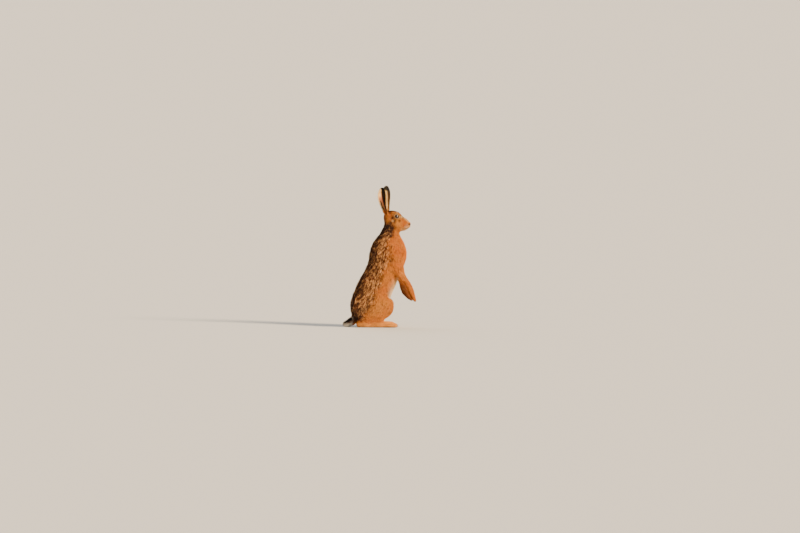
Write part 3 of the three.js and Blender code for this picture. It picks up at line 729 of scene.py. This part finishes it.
def trunk_and_legs(spots, outward, wander):
    """The colour of the coat below the head, with painted shade along the back, on the nape and inside the
    forelegs, and how thickly dark and pale tips are strewn there.
    """
    x, y, z = spots.T
    aside = np.abs(y)
    back, front = np.interp(z, HEIGHTS, BACK), np.interp(z, HEIGHTS, FRONT)
    along = (x - back) / (front - back)
    reach = np.interp(z, HEIGHTS, MANTLE)
    on_trunk = band(z, 20, 40, 420, 440)
    mantle = on_trunk * fade(along + 0.16 * wander, reach + MANTLE_EDGE[0], reach + MANTLE_EDGE[1])
    # The nape is brown with many dark tips: partly its own colour, partly painted shade on the back of the
    # neck.
    nape_with_shade = fade(z + 0.35 * (x - 60) - 18 * wander, 424, 460) * ramp(z, 372, 392) * fade(along, 0.55, 0.8)
    foreleg = on_forelegs(spots, 1, 7)
    off_legs = 1 - foreleg
    belly = ramp(along, 0.74, 0.98) * band(z, 40, 80, 190, 225) * fade(aside, 36, 52) * off_legs
    thigh_inside = fade(aside - 8 * wander, 22, 36) * ramp(x, 36, 62) * fade(z - 16 * wander, 90, 190)
    thigh = mound(x - 30, 55) * mound(z - 85, 50) * ramp(aside, 40, 55)
    leg_behind = foreleg * fade(outward[:, 0], -0.7, 0.2) * fade(z, 140, 175)
    # Inner sides of the forelegs browner: partly their own colour, partly painted shade between the legs.
    leg_inside_with_shade = foreleg * fade(outward[:, 1] * np.sign(y), -0.5, -0.05) * fade(z, 170, 205)
    foot = fade(z, 18, 26) * ramp(x, -66, -50)
    tail = fade(x, -84, -72) * fade(z, 40, 50)
    tail_top = ramp(outward[:, 2], -0.2, 0.15) * fade(aside, 12, 19)
    base = painted(
        linear(TAWNY),
        (RUFOUS, 0.35 + 0.8 * wander),
        # Towards the line of the back the mantle turns browner and darker: partly the coat's own darker back,
        # partly painted shadow along the back.
        (BROWN, 0.18 * mantle + 0.52 * mantle * fade(along, 0.02, 0.34)),
        (DARK, 0.3 * mantle * fade(along, 0.03, 0.2)),
        (RUFOUS, 0.35 * ramp(along, 0.55, 0.8) * band(z, 230, 280, 380, 400)),
        (BUFF, 0.85 * belly),
        (CREAM, 0.75 * belly * fade(aside, 16, 34)),
        (WHITE, 0.8 * thigh_inside * off_legs),
        (BROWN, 0.75 * nape_with_shade),
        (RUFOUS, 0.3 * foreleg),
        (SAND, 0.4 * thigh),
        (BROWN, 0.55 * leg_behind),
        (BROWN, 0.75 * leg_inside_with_shade),
        (SAND, 0.6 * foot),
        (GREY, 0.6 * foot * fade(z, 3, 7)),
        (WHITE, tail * (1 - tail_top)),
        (BLACK, tail * tail_top),
    )
    # More dark tips towards the line of the back and on the nape: partly the coat's own, partly painted shade
    # there.
    fleck = 0.05 * on_trunk + 0.63 * mantle + 0.15 * mantle * fade(along, 0.06, 0.28) + 0.6 * nape_with_shade
    pale = 0.36 * mantle ** 2 * (0.25 + 0.75 * ramp(along, 0.08, 0.3)) * (1 - 0.6 * nape_with_shade)
    return base, fleck * (1 - tail), pale * (1 - tail)


def with_head(base, fleck, spots, outward):
    """Those colours and dark tips with the head's own marks over them, and painted shade under the jaw, round
    the brows, at the back of the head, in the nostrils and along the mouth.
    """
    x, y, z = spots.T
    aside = np.abs(y)
    head = ramp(over_neck(x, z), 0, 6)
    for (mark_x, mark_z), reach, colour, strength in FACE_MARKS:
        near = mound(np.hypot(x - mark_x, z - mark_z), reach) * ramp(aside, 3, 8)
        base = painted(base, (colour, strength * near * head))
    crown = head * ramp(outward[:, 2], 0.1, 0.6) * fade(aside, 11, 20) * band(x, 62, 72, 128, 136)
    # The back of the head browner with more dark tips: partly its own colour, partly painted shade at the
    # back of the head.
    behind = head * fade(outward[:, 0], -0.8, -0.15) * fade(aside, 12, 26)
    snout = head * mound(line_distance(spots, SNOUT), 2.6)
    base = painted(
        base,
        (BROWN, 0.5 * behind),
        (BROWN, 0.85 * crown),
        (CREAM, 0.65 * snout * ramp(aside, 2.5, 6)),
        (BROWN, 0.5 * snout * fade(aside, 1.5, 4)),
    )
    for side in SIDES.values():
        share, _ = eye_share(spots, side, MARKS_REACH)
        base = painted(
            base,
            (CREAM, 0.85 * mound(share - 1.3, 0.2)),
            (DARK, 0.95 * fade(share, 1.04, 1.16)),
            # A brown ring beyond the pale one: painted shadow of the brow, laid all round the eye.
            (BROWN, 0.6 * mound(share - 1.72, 0.2)),
        )
    from_nostril = np.linalg.norm((mirrored(spots) - np.array(NOSTRIL)) / NOSTRIL_MARK, axis=1)
    base = painted(
        base,
        (BROWN, 0.35 * head * ramp(x, 155, 160) * band(z, 424, 428, 436, 440)),
        # Black painted shade inside the nostrils.
        (BLACK, fade(from_nostril, 0.75, 1.15)),
        # A dark line of painted shade in the groove of the mouth.
        (DARK, head * fade(line_distance(spots, MOUTH), 0.6, 1.5) * ramp(x, 126, 132)),
    )
    return base, fleck + 0.75 * crown + 0.35 * behind


def markings(spots, outward):
    """The colour of the coat at places on the hare, painted shade included, and how thickly dark and pale
    tips are strewn there.
    """
    wander = blotches(spots, PATCHES, 3) - 0.5
    base, fleck, pale = trunk_and_legs(spots, outward, wander)
    base, fleck = with_head(base, fleck, spots, outward)
    on_ear, height, fore = ear_spots(spots)
    rear = -fore
    inner = ear_inside(spots, outward)
    ear = painted(
        linear(SAND),
        (CREAM, 0.9 * ramp(rear, -0.35, 0.0)),
        (DARK, 0.95 * ramp(fore + 0.4 * (height - 0.5), 0.25, 0.42)),
        (CREAM, 0.85 * ramp(fore, 0.91, 0.97) * ramp(height, 0.3, 0.5)),
        (BLACK, 0.97 * ramp(height + 0.06 * fore, 0.78, 0.85) * (1 - 0.8 * ramp(fore, 0.86, 0.94))),
    )
    cup = painted(
        linear(FLUSH),
        # Cream on the upper rear wall of the cup: partly its own pale colour, partly painted light on that
        # wall.
        (CREAM, 0.9 * ramp(height, 0.58, 0.76) * ramp(rear, 0.0, 0.3)),
        (DARK, 0.97 * ramp(rear, 0.05, 0.28) * band(height, 0.06, 0.2, 0.45, 0.62)),
        (SAND, 0.9 * mound(fore, 0.16) * fade(height, 0.3, 0.45)),
        # Dark on the front wall of the cup: partly dark hair, partly painted shade inside the fold.
        (DARK, 0.97 * ramp(fore + 1.1 * (height - 0.5), 0.12, 0.3)),
        (CREAM, 0.97 * ramp(rear, 0.66, 0.8) * fade(height, 0.9, 0.97)),
        (BLACK, 0.97 * ramp(height + 0.2 * fore, 0.85, 0.91)),
        (BROWN, 0.8 * ramp(rear, 0.93, 0.99) * ramp(height, 0.55, 0.7)),
        (BROWN, 0.6 * fade(height, 0.08, 0.2)),
    )
    ear = ear + (cup - ear) * inner[:, None]
    grown_in = ramp(height + 0.1 * wander, 0.03, 0.22)[:, None]
    base = np.where(on_ear[:, None], base + (ear - base) * grown_in, base)
    fleck = np.where(on_ear, 0.2 * (1 - inner) * ramp(fore, 0.1, 0.5), fleck)
    pale = np.where(on_ear, 0, pale)
    return base, np.clip(fleck, 0, 1), np.clip(pale, 0, 1)


class Surface:
    """The finished skin, ready for roots to be sown on it and tufts to follow it."""

    def __init__(self, obj):
        mesh = obj.data
        mesh.calc_loop_triangles()
        self.spots = spots_of(mesh)
        self.outward = normals(mesh)
        self.triangles = read(mesh.loop_triangles, "vertices", 3, np.int32)
        self.tree = BVHTree.FromPolygons(self.spots.tolist(), self.triangles.tolist())

    def near(self, spots):
        """The nearest places on the skin, and the way out of it there."""
        places, outward = np.empty_like(spots), np.empty_like(spots)
        for i, spot in enumerate(spots):
            places[i], outward[i], _, _ = self.tree.find_nearest(spot)
        return places, outward

    def sow(self, share_of_layers):
        """Roots strewn evenly for the size of tuft that grows there."""
        corners = self.spots[self.triangles]
        middle = corners.mean(axis=1)
        cross = np.cross(corners[:, 1] - corners[:, 0], corners[:, 2] - corners[:, 0])
        area = np.linalg.norm(cross, axis=1) / 2
        _, _, length, width = coat_at(middle)
        facing = unit(self.outward[self.triangles].sum(axis=1))
        wanted = area * share_of_layers(middle, facing) / (length * width * TUFT_SHARE)
        count = np.floor(wanted + rng.random(len(wanted))).astype(int)
        chosen = np.repeat(np.arange(len(count)), count)
        a, b = rng.random((2, len(chosen)))
        over = a + b > 1
        a, b = np.where(over, 1 - a, a), np.where(over, 1 - b, b)
        weights = np.stack([1 - a - b, a, b], 1)[:, :, None]
        roots = (corners[chosen] * weights).sum(axis=1)
        return roots, unit((self.outward[self.triangles[chosen]] * weights).sum(axis=1))


def layers_of_tufts(spots, outward):
    """Layers of tufts over a spot: none on eyeballs, edges of lids, nostrils and soles."""
    x, _, z = spots.T
    bare = z < SOLE
    for side in SIDES.values():
        bare |= eye_share(spots, side, BARE_REACH)[0] < 1.12
    bare |= np.linalg.norm(mirrored(spots) - np.array(NOSTRIL), axis=1) < 3
    bare |= (line_distance(spots, MOUTH) < 0.5) & (x > 128)
    on_ear = (z > EAR_BASE + 1) & (x < EAR_FRONT)
    layers = np.where(on_ear, EAR_COVER - CUP_THINNING * ear_inside(spots, outward), COVER)
    return np.where(bare, 0, layers)


def grown(surface, roots, outward, rings):
    """Vertices of tufts that leave the skin at their roots and follow it, with their share along the tuft."""
    count = len(roots)
    way, depth, length, width = coat_at(roots)
    turn = UNRULY * rng.standard_normal(count) + WAVES * (blotches(roots, WAVE_SIZE, 5) - 0.5)
    way = unit(way - (way * outward).sum(axis=1)[:, None] * outward)
    side = np.cross(outward, way)
    way = unit(way * np.cos(turn)[:, None] + side * np.sin(turn)[:, None])
    length = length * rng.uniform(0.75, 1.2, count)
    width = width * rng.uniform(0.7, 1.25, count)
    depth = depth * rng.uniform(0.75, 1.12, count)
    depth = depth * np.where(rng.random(count) < STANDING[0], STANDING[1], 1)
    here, out, gone = roots, outward, 0.0
    points, shares = [], []
    for reach, rise, wide, thick in rings:
        if reach:
            here, out = surface.near(here + way * (length * (reach - gone))[:, None])
            way = unit(way - (way * out).sum(axis=1)[:, None] * out)
            gone = reach
        lift = depth * rise - (0 if reach else ROOT_SUNK)
        middle = here + out * lift[:, None]
        if not wide:
            points.append(middle[:, None])
            shares.append([1.0])
            continue
        half = np.cross(out, way) * (width * wide / 2)[:, None]
        top = out * (width * thick)[:, None]
        points.append(np.stack([middle - half, middle + half, middle + top], 1))
        shares.append([reach] * 3)
    points = np.concatenate(points, 1)
    points[..., 2] = np.maximum(points[..., 2], OFF_FLOOR * (1 + rng.random(points.shape[:2])))
    return points, np.concatenate(shares)


def tuft_faces(rings):
    """Triangles of one tuft: a closed spike of three sides."""
    faces = [(0, 1, 2)]
    for ring in range(len(rings) - 2):
        low, high = 3 * ring, 3 * ring + 3
        for side in range(3):
            a, b = side, (side + 1) % 3
            faces += [(low + b, low + a, high + a), (low + b, high + a, high + b)]
    last = 3 * (len(rings) - 2)
    faces += [(last + 1, last, last + 3), (last + 2, last + 1, last + 3), (last, last + 2, last + 3)]
    return np.array(faces)


def unwrapped(roots, way_along, centre):
    """Each root on an unwrap of its part of the skin: round the part's own axis, and along it."""
    axis = unit(np.array(way_along, float))
    across = unit(np.cross(axis, [0, 1, 0.001]))
    third = np.cross(axis, across)
    rel = roots - np.array(centre)
    angle = np.arctan2(rel @ across, rel @ third) / (2 * math.pi) + 0.5
    along = rel @ axis
    along = (along - along.min()) / np.ptp(along)
    return np.stack([0.01 + 0.98 * angle, 0.01 + 0.98 * along], 1)


def tuft_colours(spots, outward, clumps, shares):
    """Colours of tufts from root to tip, with dark and pale tips in clumps."""
    count = len(spots)
    base, fleck, pale = markings(spots, outward)
    draw = CLUMPED * clumps + (1 - CLUMPED) * rng.random(count)
    draw = draw.argsort().argsort() / count
    tip = base * rng.uniform(0.82, 1.22, count)[:, None]
    tip = np.where((draw < fleck)[:, None], linear(DARK) * rng.uniform(0.7, 1.5, count)[:, None], tip)
    tip = np.where((draw > 1 - pale)[:, None], linear(BUFF) * rng.uniform(0.8, 1.15, count)[:, None], tip)
    root = base * 0.45
    share = shares[None, :, None] ** 0.7
    return root[:, None] * (1 - share) + tip[:, None] * share


def coat_piece(name, surface, roots, outward, rings, unwrap):
    """One piece of the coat, with its colours, its streaks' lanes and its unwrap."""
    points, shares = grown(surface, roots, outward, rings)
    count, per_tuft = len(roots), points.shape[1]
    clumps = blotches(roots * CLUMP_STRETCH, CLUMP, 8)
    colours = tuft_colours(points[:, 3:6].mean(axis=1), outward, clumps, shares)
    triangles = (np.arange(count)[:, None, None] * per_tuft + tuft_faces(rings)).reshape(-1, 3)
    mesh = bpy.data.meshes.new(name)
    mesh.vertices.add(count * per_tuft)
    mesh.loops.add(triangles.size)
    mesh.polygons.add(len(triangles))
    mesh.loops.foreach_set("vertex_index", triangles.astype(np.int32).ravel())
    mesh.polygons.foreach_set("loop_start", np.arange(0, triangles.size, 3, dtype=np.int32))
    shade_smooth(mesh)
    put_spots(mesh, points.reshape(-1, 3))
    mesh.update(calc_edges=True)
    colour_layer(mesh, colours.reshape(-1, 3))
    corner = np.stack([np.tile([0, 1, 0.5], len(rings)), np.repeat(np.arange(len(rings)), 3)], 1)[:per_tuft]
    corner[-1, 0] = 0.5
    corner[:, 1] /= len(rings) - 1
    float_layer(mesh, "across", np.tile(corner[:, 0], count))
    float_layer(mesh, "along", np.tile(shares, count))
    float_layer(mesh, "strand", np.repeat(rng.uniform(0, 40, count), per_tuft))
    flat = (unwrap[:, None] + (corner - 0.5) * BAKE_PATCH).reshape(-1, 2)
    layer = mesh.uv_layers.new(name="OFBake")
    layer.uv.foreach_set("vector", flat[triangles.ravel()].astype(np.float32).ravel())
    made = new_object(name, mesh)
    ride_in_slot(made)
    return made


def make_coat(surface):
    """All pieces of the coat, each grown where no piece before it has claimed the skin."""
    finish = material("hare_hair", hare_hair)
    roots, outward = surface.sow(layers_of_tufts)
    free = np.ones(len(roots), bool)
    for name, slot, rings, axis, centre, claims in COAT_PIECES:
        mine = free & claims(*roots.T)
        free &= ~mine
        unwrap = unwrapped(roots[mine], axis, centre)
        if slot == "ear_coat":
            in_cup = cup_facing(outward[mine], np.sign(centre[1])) > 0
            unwrap[:, 0] = (unwrap[:, 0] + in_cup) / 2
        piece = coat_piece(name, surface, roots[mine], outward[mine], rings, unwrap)
        piece.data.materials.append(finish)


def add(tree, kind, inputs, **settings):
    """A node with its settings, its inputs joined to other nodes' outputs or set to values."""
    node = tree.nodes.new("ShaderNode" + kind)
    for name, value in settings.items():
        setattr(node, name, value)
    for socket, value in inputs.items():
        if isinstance(value, bpy.types.NodeSocket):
            tree.links.new(value, node.inputs[socket])
        else:
            node.inputs[socket].default_value = value
    return node


def material(name, inputs_from):
    """A material whose shader takes the inputs that a function works out in its tree."""
    made = bpy.data.materials.new(name)
    made.use_nodes = True
    tree = made.node_tree
    tree.nodes.clear()
    shader = add(tree, "BsdfPrincipled", inputs_from(tree))
    add(tree, "OutputMaterial", {"Surface": shader.outputs[0]})
    return made


def shaded(tree, colour, noise, darkest, lightest):
    """A colour that a noise makes darker and lighter."""
    spread = add(tree, "MapRange", {"Value": noise, "From Min": 0.3, "From Max": 0.7,
                                    "To Min": darkest, "To Max": lightest})
    return add(tree, "VectorMath", {0: colour, "Scale": spread.outputs[0]}, operation="SCALE").outputs[0]


def grained(tree, grain, detail):
    """A noise of a grain in millimetres, fixed to the piece."""
    here = add(tree, "TexCoord", {}).outputs["Object"]
    return add(tree, "TexNoise", {"Vector": here, "Scale": 1 / (grain * MM), "Detail": detail}).outputs["Fac"]


def hare_hair(tree):
    """Hair of a hare: dry guard hairs with a faint sheen, so each tuft is streaked and hardly glossy."""
    colour, across, along, strand = (
        add(tree, "Attribute", {}, attribute_name=name) for name in ("coat", "across", "along", "strand"))
    lanes = add(tree, "Math", {0: across.outputs["Fac"], 1: TUFT_WIDTH / LOCK}, operation="MULTIPLY")
    lane = add(tree, "CombineXYZ", {0: lanes.outputs[0], 1: along.outputs["Fac"], 2: strand.outputs["Fac"]})
    hairs = add(tree, "TexNoise", {"Vector": lane.outputs[0], "Scale": 1.0, "Detail": 2.0}).outputs["Fac"]
    bump = add(tree, "Bump", {"Strength": 0.5, "Distance": 0.3 * MM, "Height": hairs})
    return {
        "Base Color": shaded(tree, colour.outputs["Color"], hairs, 0.7, 1.25),
        "Roughness": 0.6,
        "Specular IOR Level": 0.14,
        "Sheen Weight": 0.06,
        "Sheen Roughness": 0.45,
        "Normal": bump.outputs[0],
    }


def hare_skin(tree):
    """Skin under the coat, in the coat's own colours, mottled and dulled by the nap of its short hairs."""
    colour = add(tree, "Attribute", {}, attribute_name="coat")
    nap = grained(tree, NAP_LOCK, 4.0)
    bump = add(tree, "Bump", {"Strength": 0.5, "Distance": 0.5 * MM, "Height": nap})
    return {
        "Base Color": shaded(tree, colour.outputs["Color"], nap, 0.75, 1.15),
        "Roughness": 0.7,
        "Specular IOR Level": 0.25,
        "Normal": bump.outputs[0],
    }


def hare_eye(tree):
    """A wet eye: amber-brown iris with fine spokes round a large black pupil, glossy under a clear cornea."""
    polar = add(tree, "Attribute", {}, attribute_name="polar").outputs["Fac"]
    spokes = grained(tree, IRIS_SPOKE, 2.0)
    wobble = add(tree, "Math", {0: spokes, 1: SPOKE_WOBBLE, 2: polar}, operation="MULTIPLY_ADD")
    share = add(tree, "Math", {0: wobble.outputs[0], 1: 90.0}, operation="DIVIDE")
    rings = add(tree, "ValToRGB", {0: share.outputs[0]})
    stops = [(0, "#050303"), (PUPIL + 1, "#060403"), (PUPIL + 2.5, "#40230f"),
             (IRIS - 9, "#5c3416"), (IRIS - 1, "#3a1d0c"), (IRIS + 3, "#0f0806")]
    elements = rings.color_ramp.elements
    while len(elements) < len(stops):
        elements.new(0.5)
    for element, (degrees, code) in zip(elements, stops):
        element.position = degrees / 90
        element.color = (*linear(code), 1)
    return {
        "Base Color": rings.outputs[0],
        "Roughness": 0.08,
        "IOR": 1.38,
        "Coat Weight": 1.0,
        "Coat Roughness": 0.02,
    }


def plain(name, code, roughness, contrast, grain):
    """A material of one colour, mottled by a grain of a size in millimetres."""
    def inputs(tree):
        tint = shaded(tree, tuple(linear(code)), grained(tree, grain, 3.0), 1 - contrast, 1 + contrast)
        return {"Base Color": tint, "Roughness": roughness}
    return material(name, inputs)


def make_eye(name, side, finish):
    """An eyeball with its cornea, which looks out between the lids."""
    centre, _, _, out = eye_frame(side)
    work = bmesh.new()
    bmesh.ops.create_uvsphere(work, u_segments=48, v_segments=32, radius=EYE_RADIUS)
    turn = Vector((0, 0, 1)).rotation_difference(Vector(out)).to_matrix().to_4x4()
    bmesh.ops.transform(work, matrix=turn, verts=work.verts)
    polar = [math.degrees(vert.co.angle(Vector(out))) for vert in work.verts]
    reach, bulge = CORNEA
    for vert, angle in zip(work.verts, polar):
        if angle < reach:
            vert.co *= 1 + bulge * (1 - (angle / reach) ** 2)
    lay = Matrix.Translation(place(*centre)) @ Matrix.Scale(MM, 4)
    bmesh.ops.transform(work, matrix=lay, verts=work.verts)
    made = object_of(work, f"eyeball_{name}", finish)
    float_layer(made.data, "polar", polar)
    ride_in_slot(made)
    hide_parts(f"eye_{name}")


def make_lid(name, side, finish):
    """The edge of the lids, bare dark skin that is moist: a ring round the opening, laid on the eyeball."""
    centre, ahead, up, out = eye_frame(side)
    spun = 10  # radius of the ring before it is laid on the lids
    work = bmesh.new()
    bmesh.ops.create_circle(work, segments=10, radius=0.45)
    bmesh.ops.rotate(work, verts=work.verts, matrix=Matrix.Rotation(math.pi / 2, 3, "X"))
    bmesh.ops.translate(work, verts=work.verts, vec=(spun, 0, 0))
    bmesh.ops.spin(work, geom=work.verts[:] + work.edges[:], cent=(0, 0, 0), axis=(0, 0, 1),
                   angle=2 * math.pi, steps=48, use_merge=True)
    bmesh.ops.remove_doubles(work, verts=work.verts, dist=0.01)
    for vert in work.verts:
        x, y, z = vert.co
        angle = math.atan2(y, x)
        beyond = math.hypot(x, y) - spun
        drawn = 1 + CORNER_DRAWN * max(math.cos(angle), 0) ** 3
        flat_x = math.cos(angle) * (OPENING[0] * drawn + beyond)
        flat_z = math.sin(angle) * (OPENING[1] + beyond)
        ball = math.sqrt(max((EYE_RADIUS + 0.5) ** 2 - flat_x ** 2 - flat_z ** 2, 1))
        vert.co = place(*(centre + ahead * flat_x + up * flat_z + out * (ball + z)))
    bmesh.ops.recalc_face_normals(work, faces=work.faces)
    ride_in_slot(object_of(work, f"lids_{name}", finish))


def bent_spike(work, root, way, bend, length, radius, rings, sides):
    """A tapering spike, closed at both ends, that starts at a root and curves as it goes."""
    radii = [radius * (1 - 0.92 * (i / rings) ** 1.4) for i in range(rings + 1)]
    made = bmesh.ops.create_circle(work, cap_ends=True, segments=sides, radius=radii[0])
    turn = Vector((0, 0, 1)).rotation_difference(Vector(way)).to_matrix()
    bmesh.ops.rotate(work, verts=made["verts"], matrix=turn, cent=(0, 0, 0))
    bmesh.ops.translate(work, verts=made["verts"], vec=root)
    top = [face for face in work.faces if set(face.verts) == set(made["verts"])]
    here, heading = Vector(root), Vector(way).normalized()
    for i in range(rings):
        step = heading * length / rings
        added = bmesh.ops.extrude_face_region(work, geom=top)["geom"]
        verts = [item for item in added if isinstance(item, bmesh.types.BMVert)]
        if i:
            bmesh.ops.delete(work, geom=top, context="FACES_ONLY")
        top = [item for item in added if isinstance(item, bmesh.types.BMFace)]
        bmesh.ops.translate(work, verts=verts, vec=step)
        here += step
        for vert in verts:
            vert.co = here + (vert.co - here) * (radii[i + 1] / radii[i])
        heading = (heading + Vector(bend) / rings).normalized()


def spikes_piece(name, spikes, sides, rings, finish):
    """A piece of many spikes: root, way, bend, length and radius of each."""
    work = bmesh.new()
    for root, way, bend, length, radius in spikes:
        bent_spike(work, root, way, bend, length, radius, rings, sides)
    bmesh.ops.recalc_face_normals(work, faces=work.faces)
    bmesh.ops.transform(work, verts=work.verts, matrix=Matrix.Translation((HIPS, 0, 0)) @ Matrix.Scale(MM, 4))
    ride_in_slot(object_of(work, name, finish))


def make_claws():
    """Four claws on each foot, of worn dark horn without gloss, that leave the hair at the toes' ends."""
    spikes = []
    for side in SIDES.values():
        (x, y, z), way = PAWS[side]
        along = Vector(way)
        for i, short in PAW_CLAWS:
            root = Vector((x, side * (y + PAW_SPREAD * i), z)) - along * short
            spikes.append((root, along + Vector((0.25, 0, 0)), (-0.4, 0, -0.5), 7.0, 1.0))
        x, y, z = FOOT_TIP
        for i, short in FOOT_CLAWS:
            root = Vector((x - short, side * (y + FOOT_SPREAD * i), z))
            spikes.append((root, (1, 0, 0.1), (0, 0, -0.75), 8.0, 1.3))
    horn = plain("claw_horn", "#3a2c24", 0.42, 0.25, HORN_GRAIN)
    spikes_piece("claws", spikes, 8, 6, horn)


def make_whiskers(surface):
    """Long whiskers of smooth pale hair in rows on the whisker pads, and a few over the eyes."""
    roots, lengths = [], []
    for row, height in enumerate(WHISKER_ROWS):
        for column in range(WHISKER_COLUMNS):
            roots.append((150 - 4.5 * column - 1.5 * (row % 2), 16, height - 0.6 * column))
            lengths.append(rng.uniform(34, 44) + 5 * column)
    roots += BROW_WHISKERS
    lengths += [30] * len(BROW_WHISKERS)
    spikes = []
    for side in SIDES.values():
        places, ways = surface.near(np.array(roots, float) * [1, side, 1])
        for spot, way, length in zip(places, ways, lengths):
            heading = Vector(way) + Vector((-0.15, 0, rng.uniform(-0.15, 0.2)))
            bend = (-0.9, 0, rng.uniform(-0.5, -0.1))
            spikes.append((Vector(spot) - Vector(way), heading.normalized(), bend, length, 0.22))
    hair = plain("whisker_hair", "#d9cfc0", 0.4, 0.2, WHISKER_GRAIN)
    spikes_piece("whiskers", spikes, 5, 8, hair)


def make_camera():
    made = bpy.data.cameras.new("camera")
    made.lens = LENS
    made.sensor_width = SENSOR
    made.clip_start = 1
    made.clip_end = 800
    eye = new_object("camera", made)
    aim = place((PICTURE[0] / 2 - HIPS_COLUMN) * PIXEL, 0, (FLOOR_ROW - PICTURE[1] / 2) * PIXEL)
    distance = PICTURE[0] * PIXEL * MM * LENS / SENSOR
    tilt = math.radians(DOWN)
    eye.location = aim + Vector((0, -math.cos(tilt), math.sin(tilt))) * distance
    eye.rotation_euler = (math.pi / 2 - tilt, 0, 0)
    bpy.context.scene.camera = eye


def make_floor():
    """A matt, pale studio floor that reaches past the picture."""
    work = bmesh.new()
    bmesh.ops.create_circle(work, cap_ends=True, segments=64, radius=FLOOR_RADIUS)
    object_of(work, "floor", plain("studio_floor", "#d6d6d4", 0.9, 0.0, FLOOR_GRAIN))


def make_light():
    """Wide, soft lamps so far off that they light the whole floor alike, in a pale world."""
    for name, way, power, spread, colour in LAMPS:
        made = bpy.data.lights.new(name, "SUN")
        made.energy = power
        made.angle = math.radians(spread)
        made.color = tuple(linear(colour))
        lamp = new_object(name, made)
        lamp.location = Vector(way) * 3
        lamp.rotation_euler = (-Vector(way)).to_track_quat("-Z", "Y").to_euler()
    world = bpy.data.worlds.new("studio")
    world.use_nodes = True
    sky = world.node_tree.nodes["Background"]
    sky.inputs["Color"].default_value = (*linear("#ecebe8"), 1)
    sky.inputs["Strength"].default_value = WORLD_LIGHT
    bpy.context.scene.world = world


def colour_skin(skin):
    """The coat's own colours on the skin, darkened as painted shade where they lie deep under the coat."""
    spots, outward = spots_of(skin.data), normals(skin.data)
    base, fleck, _ = markings(spots, outward)
    # Painted shade: the skin is darkened under the coat, less inside the thinly haired ear cups.
    shade = 0.55 + 0.35 * ear_inside(spots, outward) * (spots[:, 2] > 500)
    colour_layer(skin.data, painted(base, (DARK, 0.6 * fleck)) * shade[:, None])
    skin.data.materials.append(material("hare_skin", hare_skin))


make_camera()
make_floor()
make_light()

skin = make_skin()
colour_skin(skin)
surface = Surface(skin)
make_coat(surface)
make_claws()
make_whiskers(surface)
eye_finish = material("hare_eye", hare_eye)
lid_finish = plain("lid_edge_skin", "#1c110c", 0.35, 0.1, LID_GRAIN)
for name, side in SIDES.items():
    make_eye(name, side, eye_finish)
    make_lid(name, side, lid_finish)
